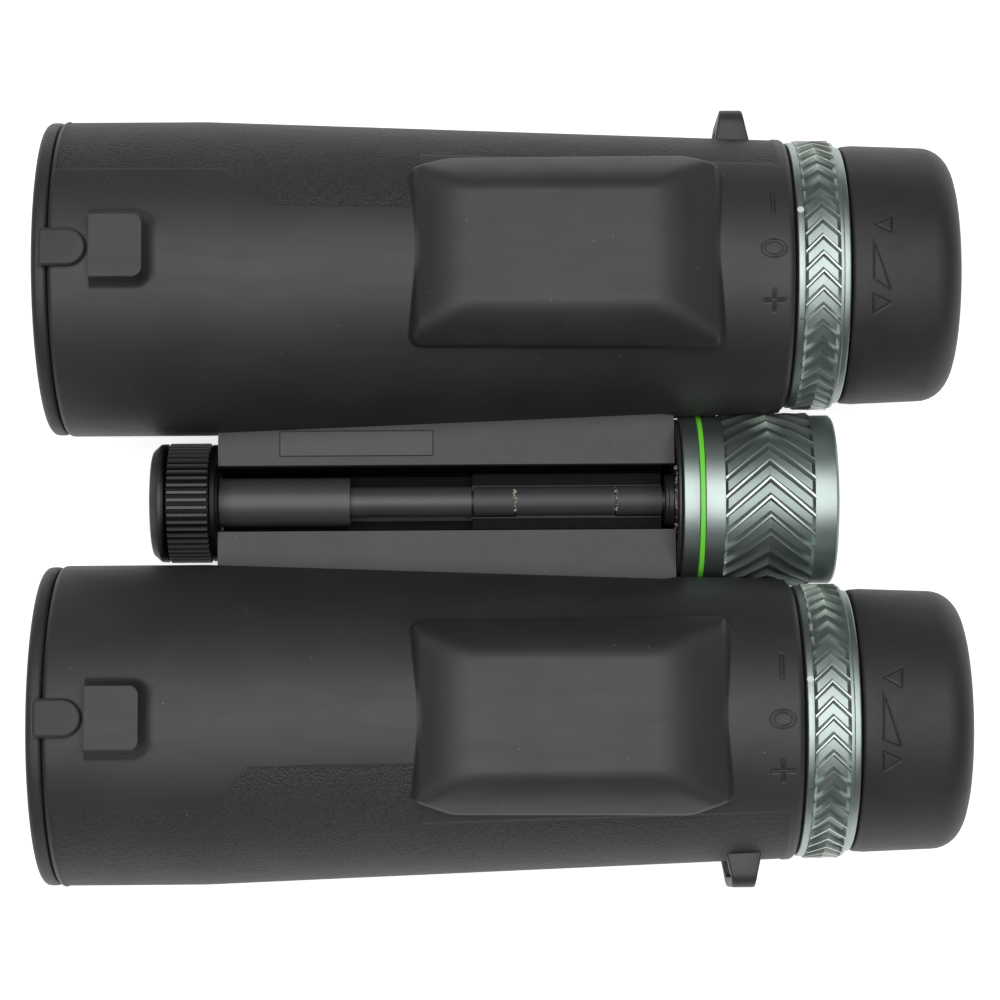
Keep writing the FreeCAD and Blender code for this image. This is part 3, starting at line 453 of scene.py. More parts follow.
def armour(hand, side):
    sides = [(34.0, 0.5), (44.0, 1.4), (slot_angles[0], 1.45), (slot_angles[1], 1.4), (138.0, 0.7)]
    angles = np.unique(np.round(np.concatenate([
        np.arange(-34.0, 34.0, 0.36), spaced([*sides, (180.0, 0.7)]),
        -spaced([*sides, (179.6, 0.7)])]), 4))
    turn = np.radians(angles)[None, :]
    outward = side * angles[None, :]
    x = armour_lines[:, None]
    skin = cone(x) + 0 * turn

    # grained flank, a step lower than the smooth rubber
    flank = np.where(np.abs(outward) <= 90, outward, np.sign(outward) * (180 - np.abs(outward)))
    edge = np.interp(x, *zip(*FLANK_EDGES[hand]))
    lower = smooth_step((flank - edge) * math.radians(1) * skin / 0.2 + 0.5)
    lower = lower * smooth_step((45.4 - x) / 0.4)
    skin = skin - grain_step * lower

    # rests, above and below
    raised = np.where(np.cos(turn) > 0, rest(x, turn, thumb_rest_top, side),
                      rest(x, turn + np.pi, finger_rest_top, -side))
    with_rest = most(skin, raised, 0.45)
    on_rest = smooth_step((with_rest - skin) / 0.25)
    skin = with_rest
    lower = lower * (1 - on_rest)

    # stop block for the pull tab
    across = skin * np.sin(turn)
    beside = across * 28.6 / 26.2 + 0.1
    block = np.maximum(
        plan_distance(x, beside, block_front, block_rear, block_half_width, 0.15),
        plan_distance(x, beside, block_front - 2.9, block_rear, block_half_width, 1.4))
    block = np.maximum(block, (block_front - x) * 9)
    top = block_top / np.maximum(np.cos(turn), 0.5)
    rise = np.clip(1 - block / 2.3, 0, 1) ** 2.6
    skin = skin + (top - skin) * rise * (np.cos(turn) > 0.5)

    # room for the focusing knob between the barrels
    hinge_y = AXES["hinge"][0] - AXES[hand][0]
    hinge_z = AXES["hinge"][1] - AXES[hand][1]
    inner = np.abs(np.abs(angles[None, :]) - 92) / 45 + (outward > 0)
    skin = skin + 0.55 * smooth_step((x - 26.0) / 4) * smooth_step(1 - inner)
    towards = hinge_y * np.sin(turn) + hinge_z * np.cos(turn)

    def relief(lines):
        room = np.where(lines < 35.8, 14.2, 14.62) ** 2
        reach = room - (hinge_y ** 2 + hinge_z ** 2 - towards ** 2)
        meets = towards - np.sqrt(np.maximum(reach, 0))
        return np.where((reach > 0) & (towards > 0) & (lines > 29.3), meets, 99.0)

    skin = np.minimum(skin, relief(x))

    engraved = scale_engraving(hand, x, angles[None, :])
    skin = skin - mark_depth * engraved

    # closed section: front lip, outer skin, rear lip, then the bore back to the front
    front_edge = rounded([(armour_front + armour_lip, front_lip_radius),
                          (armour_front, front_lip_radius, 0.15),
                          (armour_front, front_radius, 0.85), (-70.0, front_radius)])[1:-1]
    rear_edge = rounded([(45.0, cone(45.0)), (armour_rear, cone(armour_rear), 1.1),
                         (armour_rear, rear_lip_radius, 0.15),
                         (armour_rear - armour_lip, rear_lip_radius)])[2:-1]
    slot_rows = armour_lines[(armour_lines >= slot_front - 0.01)
                             & (armour_lines <= slot_rear + 0.01)]
    bore_lines = np.concatenate([[armour_rear - armour_lip, 30.0, 10.0], slot_rows[::-1],
                                 [-30.0, cone_start, armour_front + armour_lip]])
    bore = cone(bore_lines) - armour_wall
    rows_x = np.concatenate([front_edge[:, 0], armour_lines, rear_edge[:, 0],
                             [armour_rear - armour_lip], bore_lines,
                             [armour_front + armour_lip]])
    count = len(angles)
    level = np.concatenate([
        np.repeat(front_edge[:, 1:], count, 1), skin, np.repeat(rear_edge[:, 1:], count, 1),
        np.full((1, count), rear_lip_radius), np.repeat(bore[:, None], count, 1),
        np.full((1, count), front_lip_radius)])
    outside_rows = len(front_edge) + len(armour_lines) + len(rear_edge)
    level[:outside_rows] = np.minimum(level, relief(rows_x[:, None]))[:outside_rows]
    rows = len(rows_x)
    faces = grid_faces(rows, count)

    # the slot that the focusing arm comes through
    first_row = len(front_edge)
    outer = [first_row + int(np.argmin(np.abs(armour_lines - end)))
             for end in (slot_front, slot_rear)]
    inner = [outside_rows + 1 + int(np.argmin(np.abs(bore_lines - end)))
             for end in (slot_front, slot_rear)]
    columns = sorted(int(np.argmin(np.abs(angles + side * end))) for end in slot_angles)
    row_of, column_of = faces[:, 0] // count, faces[:, 0] % count
    in_columns = (column_of >= columns[0]) & (column_of < columns[1])
    in_outer = (row_of >= outer[0]) & (row_of < outer[1])
    in_inner = (row_of >= inner[1]) & (row_of < inner[0])
    faces = faces[~(in_columns & (in_outer | in_inner))].tolist()
    for step in range(outer[1] - outer[0]):
        for column in columns:
            a = (outer[0] + step) * count + column
            b = (outer[0] + step + 1) * count + column
            c = (inner[0] - step - 1) * count + column
            d = (inner[0] - step) * count + column
            faces.append([a, b, c, d] if column == columns[0] else [d, c, b, a])
    for column in range(*columns):
        for outer_row, inner_row, forward in ((outer[0], inner[0], False),
                                              (outer[1], inner[1], True)):
            a, b = outer_row * count + column, outer_row * count + column + 1
            c, d = inner_row * count + column + 1, inner_row * count + column
            faces.append([a, b, c, d] if forward else [d, c, b, a])

    plain_rows = ((first_row, rows - first_row - len(armour_lines)), (0, 0))
    piece(f"{hand}_armour_sleeve", around(hand, rows_x[:, None], level, angles[None, :]), faces,
          f"{hand}_barrel", armour_rubber, (f"{hand}_armour",),
          values={"grained": np.pad(lower, plain_rows), "engraved": np.pad(engraved, plain_rows)})


for hand, side in SIDES.items():
    armour(hand, side)


# ---- housing tubes ----
# The black glass-filled nylon tube inside each armour sleeve, moulded with a fine matt texture.
# It holds everything optical, and the rubber is bonded to its outside.

housing_polymer = Finish("housing_polymer", {"Roughness": 0.55})
housing_polymer.mottle(9.0, (34, 34, 36), (46, 46, 48), 3.0)
housing_polymer.grain(0.12, 0.03, 3.0)
dress_both(housing_polymer, "housing")


# ---- objective end ----
# A cemented crown and flint pair, held by a black threaded ring in front and a rubber ring
# behind. The ring is turned aluminium, and the front glass has a green and violet coating.

black_aluminium = Finish("black_aluminium", {"Metallic": 1.0})
turning = black_aluminium.noise(0.10, 3.0, black_aluminium.stretched(1.0, 0.03, 0.03))
black_aluminium.mottle(7.0, (50, 50, 52), (66, 66, 68))
black_aluminium.set("Roughness", 0.34 + 0.14 * turning)
black_aluminium.relief(turning, 0.012)
seal_rubber = Finish("seal_rubber", {"Roughness": 0.7})
seal_rubber.mottle(1.0, (22, 22, 23), (34, 34, 35))
seal_rubber.grain(0.2, 0.03)


def glass(name, coating, edge_coating, tint):
    """Optical glass whose coating shifts in colour towards grazing views."""
    made = Finish(name, {"IOR": 1.52, "Transmission Weight": 1.0, "Coat IOR": 1.6,
                         "Coat Roughness": 0.02, "Coat Tint": coating})
    dust = made.specks(1.6, 0.05)
    made.set("Base Color", made.noise(6.0).blend(tint, edge_coating))
    made.set("Roughness", 0.01 + 0.25 * dust)
    made.set("Coat Weight", made.noise(12.0).ramp(0.2, 0.8, 0.7, 0.9))
    return made


optical_glass = glass("optical_glass", tone(150, 235, 190), tone(226, 240, 232),
                      tone(236, 244, 238))
dress_both(black_aluminium, "objective_ring")
dress_both(seal_rubber, "objective_seal")
dress_both(optical_glass, "objective_crown", "objective_flint")


# ---- objective caps ----
# A soft moulded rubber plug that pushes into the front of the barrel. Its rim covers the
# armour's end with a narrow shadow gap, and its pull tab lies back against the stop block.

cap_rubber = Finish("cap_rubber", {"Specular IOR Level": 0.50})
cap_cloud = cap_rubber.noise(11.0, 3.0).ramp(0.3, 0.7)
cap_rubber.set("Base Color", (cap_rubber.specks(3.6, 0.12) * 0.5).blend(
    cap_cloud.blend(tone(40, 39, 42), tone(46, 45, 48)), tone(140, 138, 134)))
cap_rubber.sheen(0.50, 0.12, 1.8, 4.0)
cap_rubber.grain(0.09, 0.014, 3.0)
cap_front, cap_rear, cap_radius = -74.6, -72.15, 26.0
plug_radius, plug_bore, plug_rear, plug_floor = 22.4, 21.2, -69.6, -72.8
tab_front, tab_rear, tab_half_width = -73.35, -65.6, 3.1
tab_foot, tab_under, tab_top = 24.8, 26.52, 27.58


def rounded_plan(front, rear, half_width, front_corner, rear_corner, inset=0.0):
    """A rounded rectangle in the flat, drawn in by an inset, with the same points every time."""
    points = []
    steps = 6
    for corner_x, side_y, radius, turn in (
            (rear, 1, rear_corner, 0), (front, 1, front_corner, 90),
            (front, -1, front_corner, 180), (rear, -1, rear_corner, 270)):
        inward = -1 if corner_x == rear else 1
        for step in range(steps + 1):
            angle = math.radians(turn + 90 * step / steps)
            reach = max(radius - inset, 0.02)
            points.append((corner_x + inward * radius + reach * math.cos(angle),
                           side_y * (half_width - radius) + reach * math.sin(angle)))
    return points


def slab(name, hand, plans, heights, body, finish, stands_for=()):
    """A flat piece built from stacked outlines, closed above and below."""
    y, z = AXES[hand]
    count = len(plans[0])
    points = [(px, y + py, z + height) for plan, height in zip(plans, heights) for px, py in plan]
    faces = grid_faces(len(plans), count, wrap_rows=False).tolist()
    faces += [list(range(count)), list(range((len(plans) - 1) * count, len(plans) * count))]
    piece(name, points, faces, body, finish, stands_for)


def pull_tab(hand):
    """The tab: square with soft corners on the rim, a half circle against the block."""
    insets = [(0.12, tab_under), (0.0, tab_under + 0.2), (0.04, tab_top - 0.5),
              (0.14, tab_top - 0.22), (0.32, tab_top - 0.06), (0.55, tab_top),
              (1.4, tab_top + 0.02)]
    plans = [rounded_plan(tab_front, tab_rear, tab_half_width, 0.8, tab_half_width - 0.03, inset)
             for inset, _ in insets]
    slab(f"{hand}_cap_pull_tab", hand, plans, [height for _, height in insets],
         f"{hand}_objective_cap", cap_rubber)
    neck = rounded_plan(tab_front + 0.15, cap_rear, tab_half_width - 0.1, 0.6, 0.2)
    slab(f"{hand}_cap_tab_neck", hand, [neck, neck], [tab_foot, tab_under + 0.4],
         f"{hand}_objective_cap", cap_rubber)


for hand in SIDES:
    turned(f"{hand}_cap_plug", hand, [
        (cap_front + 0.5, 0.0), (cap_front + 0.5, 19.0, 0.8), (cap_front, 20.0, 0.5),
        (cap_front, cap_radius, 1.0), (cap_rear, cap_radius, 0.6), (cap_rear, plug_radius, 0.2),
        (-70.9, plug_radius), (-70.6, plug_radius - 0.25), (-70.3, plug_radius),
        (plug_rear, plug_radius, 0.3), (plug_rear, plug_bore, 0.2), (plug_floor, plug_bore, 0.4),
        (plug_floor, 0.0)], f"{hand}_objective_cap", cap_rubber,
        (f"{hand}_objective_cap",), columns=160)
    pull_tab(hand)


# ---- focusing group ----
# A lens in a black aluminium cell slides inside each barrel. A steel rod beside the hinge
# joins its arm to the knob's carriage, so both lenses move together.

steel = Finish("steel", {"Metallic": 1.0})
drawn_lines = steel.noise(0.08, 3.0, steel.stretched(0.04, 1.0, 1.0))
steel.mottle(5.0, (150, 150, 154), (172, 172, 175))
steel.set("Roughness", 0.22 + 0.16 * drawn_lines)
steel.relief(drawn_lines, 0.008)
dress_both(black_aluminium, "focus_cell", "focus_rod")
dress_both(optical_glass, "focus_lens")


# ---- prisms ----
# Two roof prisms to each barrel stand in a black nylon frame that is screwed into the housing.

prism_glass = glass("prism_glass", tone(210, 214, 232), tone(228, 236, 236), tone(236, 240, 240))
dress_both(housing_polymer, "prism_frame")
dress_both(prism_glass, "pechan_prism", "schmidt_prism")


# ---- eyepieces ----
# A black turned tube with a stop ring, and a cell with two lenses that screws in and out of it
# when the dioptre ring is turned.

dress_both(black_aluminium, "field_stop", "eyepiece_tube", "eyepiece_cell")
dress_both(optical_glass, "field_lens", "eye_lens")


# ---- dioptre rings ----
# An anodised aluminium ring behind each barrel, grey with a green cast and bead-blasted, with
# chevrons milled round its grip. A dot of white paint and a short dark line on its front flange
# read against the scale on the armour.

anodised = Finish("anodised_aluminium", {"Metallic": 1.0})
beads = anodised.noise(0.055, 2.0)
turned_marks = anodised.noise(0.12, 3.0, anodised.stretched(1.0, 0.02, 0.02))
wear = anodised.painted("worn")
# Painted shade: the pockets between the chevrons are blended towards a darker tone, and the crests
# get half of it. Only the knob's grip carries it.
painted_pocket_shade = anodised.painted("painted_grip_shade")
shade = anodised.noise(5.0, 3.0).ramp(0.25, 0.75).blend(tone(153, 165, 162), tone(164, 175, 171))
shade = painted_pocket_shade.blend(shade, tone(84, 98, 96))
anodised.set("Base Color", (wear * 0.75).blend(shade, tone(206, 212, 204)))
anodised.set("Roughness", 0.40 + 0.06 * beads + 0.05 * turned_marks - 0.05 * wear)
anodised.relief(beads * 0.7 + turned_marks * 0.3, 0.010)


def chevron_grip(name, axis, front_corners, grip, rear_corners, body, finish, stands_for):
    """A closed turned piece with a grip of raised chevrons; its columns run along the ridges."""
    front, rear = grip["front"], grip["rear"]
    pitch = 360 / grip["count"]
    centre = (front + rear) / 2
    half = (rear - front) / 2
    degree = math.degrees(1 / grip["crest"])
    crest, foot = grip["crest_width"] / 2 * degree, grip["foot_width"] / 2 * degree
    pattern = [-foot, -crest, crest, foot, foot + (pitch - 2 * foot) / 3,
               foot + (pitch - 2 * foot) * 2 / 3]
    heights = np.array([0.0, 1.0, 1.0, 0.0, 0.0, 0.0])
    angles = np.concatenate([grip["phase"] + index * pitch + np.array(pattern)
                             for index in range(grip["count"])])
    ridge = np.tile(heights, grip["count"])
    wall = grip["wall"]
    along = np.array([front, front + 0.03, front + wall, front + wall + 0.2,
                      front + 0.5 * half, centre - 0.25, centre, centre + 0.25,
                      rear - 0.5 * half, rear - wall - 0.2, rear - wall, rear - 0.03, rear])
    ends = np.clip(np.minimum(along - front, rear - along) / wall, 0, 1)
    rim = grip["floor"] + (grip["rim"] - grip["floor"]) * (1 - ends)
    rise = np.where((along > front) & (along < rear), 1.0, 0.0)
    level = np.maximum(rim[:, None], grip["floor"]
                       + (grip["crest"] - grip["floor"]) * ridge[None, :] * rise[:, None])
    lean = (half - np.abs(along - centre)) * grip["slope"] * degree
    before = rounded(front_corners)
    after = rounded(rear_corners)
    x = np.concatenate([before[:, 0], along, after[:, 0]])
    flat = np.ones(len(angles))
    radius = np.concatenate([before[:, 1:] * flat, level, after[:, 1:] * flat])
    swing = np.pad(lean, (len(before), len(after)))
    angle = angles[None, :] + swing[:, None] - half * grip["slope"] * degree
    plain_ends = ((len(before), len(after)), (0, 0))
    worn = np.pad(ridge[None, :] * rise[:, None], plain_ends)
    # Painted shade over the chevron zone: the grip's shade value in the pockets, half of it on the
    # crests.
    painted_grip_shade = np.pad(grip["shade"] * (1 - 0.5 * ridge[None, :]) * rise[:, None], plain_ends)
    piece(name, around(axis, x[:, None], radius, angle), grid_faces(len(x), len(angles)),
          body, finish, stands_for, sharp=30.0, values={"worn": worn, "painted_grip_shade": painted_grip_shade})


ring_front, ring_bore, flange_radius = 47.5, 16.98, 22.15
RING_PHASE = {"left": 5.8, "right": 6.1}
DOT_ANGLE = {"left": 17.4, "right": 14.5}
INDEX_ANGLE = {"left": -29.4, "right": -31.9}
dot_x, dot_radius, dot_sides = 48.15, 0.55, 18
index_front, index_rear, index_half_width = 47.86, 48.64, 0.11
white_paint = Finish("white_paint", {"Roughness": 0.5})
white_paint.mottle(0.4, (206, 208, 206), (232, 232, 230))
white_paint.grain(0.15, 0.02)
index_ink = Finish("index_ink", {"Roughness": 0.5})
index_ink.mottle(0.3, (60, 72, 70), (84, 96, 94))
index_ink.grain(0.1, 0.01)


def on_flange(hand, degrees, spots):
    """Puts (x, across, up) points on the ring's front flange, at an angle from its top."""
    turn = math.radians(degrees)
    y, z = AXES[hand]
    return [(x, y + (flange_radius + up) * math.sin(turn) + across * math.cos(turn),
             z + (flange_radius + up) * math.cos(turn) - across * math.sin(turn))
            for x, across, up in spots]


def ring_marks(hand):
    """The white dot, a low dome with a foot in the metal, and the thin index line."""
    rim = [(dot_x + dot_radius * math.cos(math.tau * step / dot_sides),
            dot_radius * math.sin(math.tau * step / dot_sides)) for step in range(dot_sides)]
    spots = [(dot_x, 0.0, 0.06)] + [(x, across, up) for up in (0.03, -0.05) for x, across in rim]
    faces = [[0, index, index % dot_sides + 1] for index in range(1, dot_sides + 1)]
    faces += [[index, index + dot_sides, index % dot_sides + 1 + dot_sides, index % dot_sides + 1]
              for index in range(1, dot_sides + 1)]
    faces.append(list(range(dot_sides + 1, 2 * dot_sides + 1)))
    piece(f"{hand}_dioptre_dot", on_flange(hand, DOT_ANGLE[hand], spots), faces,
          f"{hand}_dioptre_ring", white_paint)
    corners = [(index_front, -index_half_width), (index_rear, -index_half_width),
               (index_rear, index_half_width), (index_front, index_half_width)]
    spots = [(x, across, up) for up in (-0.05, 0.015) for x, across in corners]
    faces = [[0, 1, 2, 3], [4, 5, 6, 7], [0, 1, 5, 4], [1, 2, 6, 5], [2, 3, 7, 6], [3, 0, 4, 7]]
    piece(f"{hand}_dioptre_index", on_flange(hand, INDEX_ANGLE[hand], spots), faces,
          f"{hand}_dioptre_ring", index_ink)


for hand in SIDES:
    chevron_grip(f"{hand}_dioptre_grip", hand, [
        (ring_front, ring_bore, 0.2), (ring_front, flange_radius, 0.35),
        (48.74, flange_radius, 0.1)], {
        "front": 48.75, "rear": 54.45, "count": 49, "phase": RING_PHASE[hand], "crest": 22.45,
        "floor": 21.7, "rim": flange_radius, "crest_width": 0.30, "foot_width": 1.25,
        "wall": 0.5, "slope": 0.98, "shade": 0.0}, [
        (54.46, flange_radius), (54.95, flange_radius, 0.1), (55.15, 21.35),
        (56.2, 21.35, 0.3), (56.2, ring_bore, 0.2)],
        f"{hand}_dioptre_ring", anodised, (f"{hand}_dioptre_ring",))
    ring_marks(hand)


# ---- eyecups ----
# Soft rubber over a thin aluminium sleeve that turns on the guide and rises with it. Two small
# triangles and a ramp are sunk in the rubber to say which way to turn it.

eyecup_rubber = Finish("eyecup_rubber", {"Specular IOR Level": 0.44})
cup_cloud = eyecup_rubber.noise(9.0, 3.0).ramp(0.3, 0.7)
cup_tone = cup_cloud.blend(tone(38, 37, 39), tone(45, 44, 46))
# Painted shade: the sunk triangles and ramp are blended towards near black.
cup_tone = (eyecup_rubber.painted("engraved") * 0.55).blend(cup_tone, tone(12, 12, 12))
eyecup_rubber.set("Base Color", (eyecup_rubber.specks(3.8, 0.12) * 0.5).blend(
    cup_tone, tone(140, 136, 132)))
eyecup_rubber.sheen(0.52, 0.10, 1.6, 4.0)
eyecup_rubber.grain(0.09, 0.014, 3.0)
guide_polymer = Finish("guide_polymer", {"Roughness": 0.45})
guide_polymer.mottle(4.0, (28, 28, 29), (40, 40, 42))
guide_polymer.grain(0.15, 0.02)

cup_front, cup_rear, cup_radius, cup_bore = 56.5, 74.6, 21.15, 19.12
cup_lip_front, cup_lip_radius = 72.0, 15.6
cup_flare, cup_mark_depth = 0.40, 0.12
CUP_MARKS = {
    "left": (((62.85, 15.2), (62.71, 7.9), (60.17, 11.5)),
             ((59.82, 4.5), (59.73, -12.6), (62.54, -17.9)),
             ((59.66, -19.2), (59.77, -27.8), (62.5, -23.1))),
    "right": (((62.85, 20.2), (62.64, 11.4), (59.89, 15.7)),
              ((59.7, 9.4), (59.54, -11.1), (62.36, -14.2)),
              ((59.56, -15.9), (59.65, -24.4), (62.33, -19.7))),
}


def eyecup(hand):
    head = rounded([(cup_front, cup_bore, 0.2), (cup_front, cup_radius - 0.15, 0.6),
                    (58.6, cup_radius)])[:-1]
    lines = spaced([(58.6, 0.4), (59.2, 0.11), (63.2, 0.5), (69.6, 0.5)])
    tail = rounded([(69.0, cup_radius), (cup_rear, cup_radius, 4.9), (cup_rear, 15.95, 0.35),
                    (73.4, cup_lip_radius, 0.5), (cup_lip_front, cup_lip_radius, 0.2),
                    (cup_lip_front, cup_bore)], 8)[1:]
    angles = np.concatenate([np.arange(-31.0, 23.0, 0.38), spaced([(23.0, 2.0), (328.0, 2.0)])])
    arc = np.radians(angles)[None, :] * cup_radius
    x = lines[:, None]
    nearest = np.min([outline_distance(x, arc, [(mark_x, math.radians(turn) * cup_radius)
                                                for mark_x, turn in corners])
                      for corners in CUP_MARKS[hand]], 0)
    sunk = smooth_step((0.19 - nearest) / 0.13)
    flat = np.ones(len(angles))
    flare = cup_flare * np.clip((69.6 - x) / 11.0, 0, 1)
    radius = np.concatenate([head[:, 1:] + cup_flare * (head[:, 1:] > 20) * flat,
                             cup_radius + flare - cup_mark_depth * sunk, tail[:, 1:] * flat])
    engraved = np.pad(sunk, ((len(head), len(tail)), (0, 0)))
    rows = np.concatenate([head[:, 0], lines, tail[:, 0]])
    piece(f"{hand}_eyecup_cover", around(hand, rows[:, None], radius, angles[None, :]),
          grid_faces(len(rows), len(angles)), f"{hand}_eyecup", eyecup_rubber,
          (f"{hand}_eyecup_rubber",), values={"engraved": engraved})


dress_both(guide_polymer, "eyecup_guide")
dress_both(black_aluminium, "eyecup_sleeve")
for hand in SIDES:
    eyecup(hand)


# ---- strap lugs ----
# A small loop of black-painted zinc standing off each barrel's outer side, narrower at its top
# than at its foot, with the strap slot through it.

lug_metal = Finish("lug_metal", {"Specular IOR Level": 0.5})
lug_metal.mottle(1.5, (40, 40, 41), (56, 55, 56), 3.0)
lug_metal.sheen(0.42, 0.12, 0.4)
lug_metal.grain(0.10, 0.02)
lug_reach, lug_root, lug_bar = 27.1, 21.5, 1.7
lug_half_height, lug_leg = 7.25, 2.35


def strap_lug(hand, side):
    """The loop as a strip bent up, across and down, with softly rounded edges."""
    middle_reach, leg_height = lug_reach - lug_bar / 2, lug_half_height - lug_leg / 2
    path = [(lug_root, leg_height), (24.2, leg_height)]
    corner = 1.45
    for step in range(7):
        turn = math.radians(15 * step)
        path.append((middle_reach - corner + corner * math.sin(turn),
                     leg_height - corner + corner * math.cos(turn)))
    path += [(out, -up) for out, up in path[::-1]]
    thick = [lug_leg] * 2 + list(np.linspace(lug_leg, lug_bar, 7))
    thick += thick[::-1]
    y, z = AXES[hand]
    rows = []
    for index, (out, up) in enumerate(path):
        near, far = path[max(index - 1, 0)], path[min(index + 1, len(path) - 1)]
        run = np.array([far[0] - near[0], far[1] - near[1]])
        across = np.array([-run[1], run[0]]) / np.linalg.norm(run)
        share = (out - 20.0) / 7.1
        front, rear = 35.4 + 1.4 * share, 41.8 - 1.6 * share
        section = rounded([(front, -thick[index] / 2, 0.35), (rear, -thick[index] / 2, 0.35),
                           (rear, thick[index] / 2, 0.35), (front, thick[index] / 2, 0.35)], 3)
        rows.append([(px, y + side * (out + across[0] * off), z + up + across[1] * off)
                     for px, off in section])
    count = len(rows[0])
    faces = grid_faces(len(rows), count, wrap_rows=False).tolist()
    faces += [list(range(count)), list(range((len(rows) - 1) * count, len(rows) * count))]
    piece(f"{hand}_strap_loop", rows, faces, f"{hand}_barrel", lug_metal,
          (f"{hand}_strap_lug",))


for hand, side in SIDES.items():
    strap_lug(hand, side)


# ---- hinge wings ----
# Each barrel's housing reaches to the middle with a flat wing of grey-black nylon. The wings'
# knuckles turn on the hinge pin, and a blank adhesive plate is let into the left one.

wing_polymer = Finish("wing_polymer", {"Specular IOR Level": 0.45})
wing_cloud = wing_polymer.noise(10.0, 3.0).ramp(0.3, 0.7)
wing_y, wing_z = [wing_polymer.start.node("SeparateXYZ", {}, {0: wing_polymer.spot}, axis)
                  for axis in (1, 2)]
# Painted shade: the wing surfaces below 26 mm up and more than about 2.8 mm to either side of the
# hinge line, the walls and floors of the channel beside the knuckles, are blended to near black
# and made mostly metallic. This stands in for the shadow deep in the channel.
painted_channel_shade = wing_z.ramp(26.8, 26.0) * (wing_y * wing_y).ramp(6.6, 8.0)
wing_polymer.set("Base Color", (painted_channel_shade * 0.95).blend(
    (wing_polymer.specks(3.6, 0.12) * 0.5).blend(
        wing_cloud.blend(tone(55, 53, 57), tone(60, 58, 61)), tone(140, 138, 136)),
    tone(8, 8, 9)))
wing_polymer.set("Metallic", painted_channel_shade * 0.9)
wing_polymer.sheen(0.48, 0.08, 1.5, 3.0)
wing_polymer.grain(0.14, 0.020, 3.0)
plate_plastic = Finish("plate_plastic", {"Specular IOR Level": 0.45})
plate_plastic.mottle(6.0, (55, 53, 57), (59, 57, 60))
plate_plastic.sheen(0.44, 0.06, 0.8)
plate_plastic.grain(0.2, 0.012)
dress_both(wing_polymer, "wing")
low, high = [corner * 1000 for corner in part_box("rating_plate")]
plate_middle = (low.y + high.y) / 2 - AXES["left"][0]
plate_base = low.z - AXES["left"][1]
plate_inset = 0.14
plans = [[(px, plate_middle + py) for px, py in
          rounded_plan(low.x, high.x, (high.y - low.y) / 2, 0.3, 0.3, plate_inset + inset)]
         for inset in (0.0, 0.0, 0.05)]
slab("rating_label", "left", plans, [plate_base, plate_base + 0.31, plate_base + 0.36],
     "left_barrel", plate_plastic, ("rating_plate",))


# ---- hinge line ----
# The black steel hinge pin runs from the tripod socket in front, through a sleeve and the
# wings' knuckles, to the focusing knob, where a nylon spacer and a thin washer close the gap.
# Grease has squeezed out at the knuckle joints.

shaft_black = Finish("shaft_black", {"Specular IOR Level": 0.55})
shaft_lines = shaft_black.noise(0.10, 2.0, shaft_black.stretched(1.0, 0.05, 0.05))
shaft_black.mottle(6.0, (58, 57, 59), (66, 65, 67))
shaft_black.set("Roughness", 0.42 + 0.06 * shaft_lines)
shaft_black.relief(shaft_lines, 0.006)
brass = Finish("brass", {"Metallic": 1.0})
brass.mottle(3.0, (176, 142, 78), (196, 164, 98))
brass.set("Roughness", 0.28 + 0.14 * brass.noise(0.2, 3.0, brass.stretched(1.0, 0.1, 0.1)))
brass.grain(0.15, 0.01)
dress(shaft_black, "hinge_shaft", "front_hinge_sleeve")
dress(black_aluminium, "tripod_socket")

hub_polymer = Finish("hub_polymer", {"Specular IOR Level": 0.5})
hub_polymer.mottle(2.0, (30, 29, 31), (42, 41, 43))
hub_polymer.sheen(0.38, 0.1, 0.5)
hub_polymer.grain(0.2, 0.02)
turned("knob_hub", "hinge", [
    (27.3, 2.53), (27.3, 4.2, 0.15), (27.9, 4.2, 0.1), (27.9, 4.45, 0.1), (28.7, 4.45, 0.15),
    (28.7, 5.6), (28.8, 7.0, 0.1), (29.4, 7.0, 0.1), (29.4, 2.53)],
    "right_barrel", hub_polymer, ("knob_spacer",), columns=96)
turned("knob_washer", "hinge", [
    (28.85, 10.9, 0.1), (28.85, 13.5, 0.15), (29.4, 13.5, 0.15), (29.4, 10.9, 0.1)],
    "right_barrel", hub_polymer)

grease = Finish("grease", {"Specular IOR Level": 0.6})
grease.set("Base Color", grease.noise(0.25, 3.0).ramp(0.35, 0.65).blend(tone(116, 108, 90),
                                                                        tone(206, 202, 186)))
grease.sheen(0.22, 0.2, 0.3)
grease.grain(0.12, 0.05)
random = np.random.default_rng(7)


def grease_smear(name, x, radius, low_turn, high_turn, blobs, size):
    """Lumps of grease along a joint: flattened, uneven beads that run into each other."""
    points, faces = [], []
    for blob in range(blobs):
        turn = math.radians(random.uniform(low_turn, high_turn))
        along = x + random.normal(0, size * 0.45)
        stretch = random.uniform(0.6, 1.5, 3) * size * np.array([0.7, 0.9, 0.42])
        out = np.array([0.0, math.sin(turn), math.cos(turn)])
        side = np.array([0.0, math.cos(turn), -math.sin(turn)])
        centre = np.array([along, *AXES["hinge"]]) + out * radius
        start = len(points)
        rings, spokes = 5, 8
        for ring in range(rings):
            rise = math.pi * (ring + 0.5) / rings
            for spoke in range(spokes):
                swing = math.tau * spoke / spokes
                lump = 1 + random.uniform(-0.18, 0.18)
                local = np.array([math.sin(rise) * math.cos(swing),
                                  math.sin(rise) * math.sin(swing), math.cos(rise)]) * lump
                points.append(centre + local[0] * stretch[0] * np.array([1.0, 0.0, 0.0])
                              + local[1] * stretch[1] * side + local[2] * stretch[2] * out)
        part = grid_faces(rings, spokes, wrap_rows=False) + start
        faces += part.tolist()
        faces += [list(range(start, start + spokes)),
                  list(range(start + (rings - 1) * spokes, start + rings * spokes))]
    piece(name, points, faces, "right_barrel", grease, sharp=180.0)


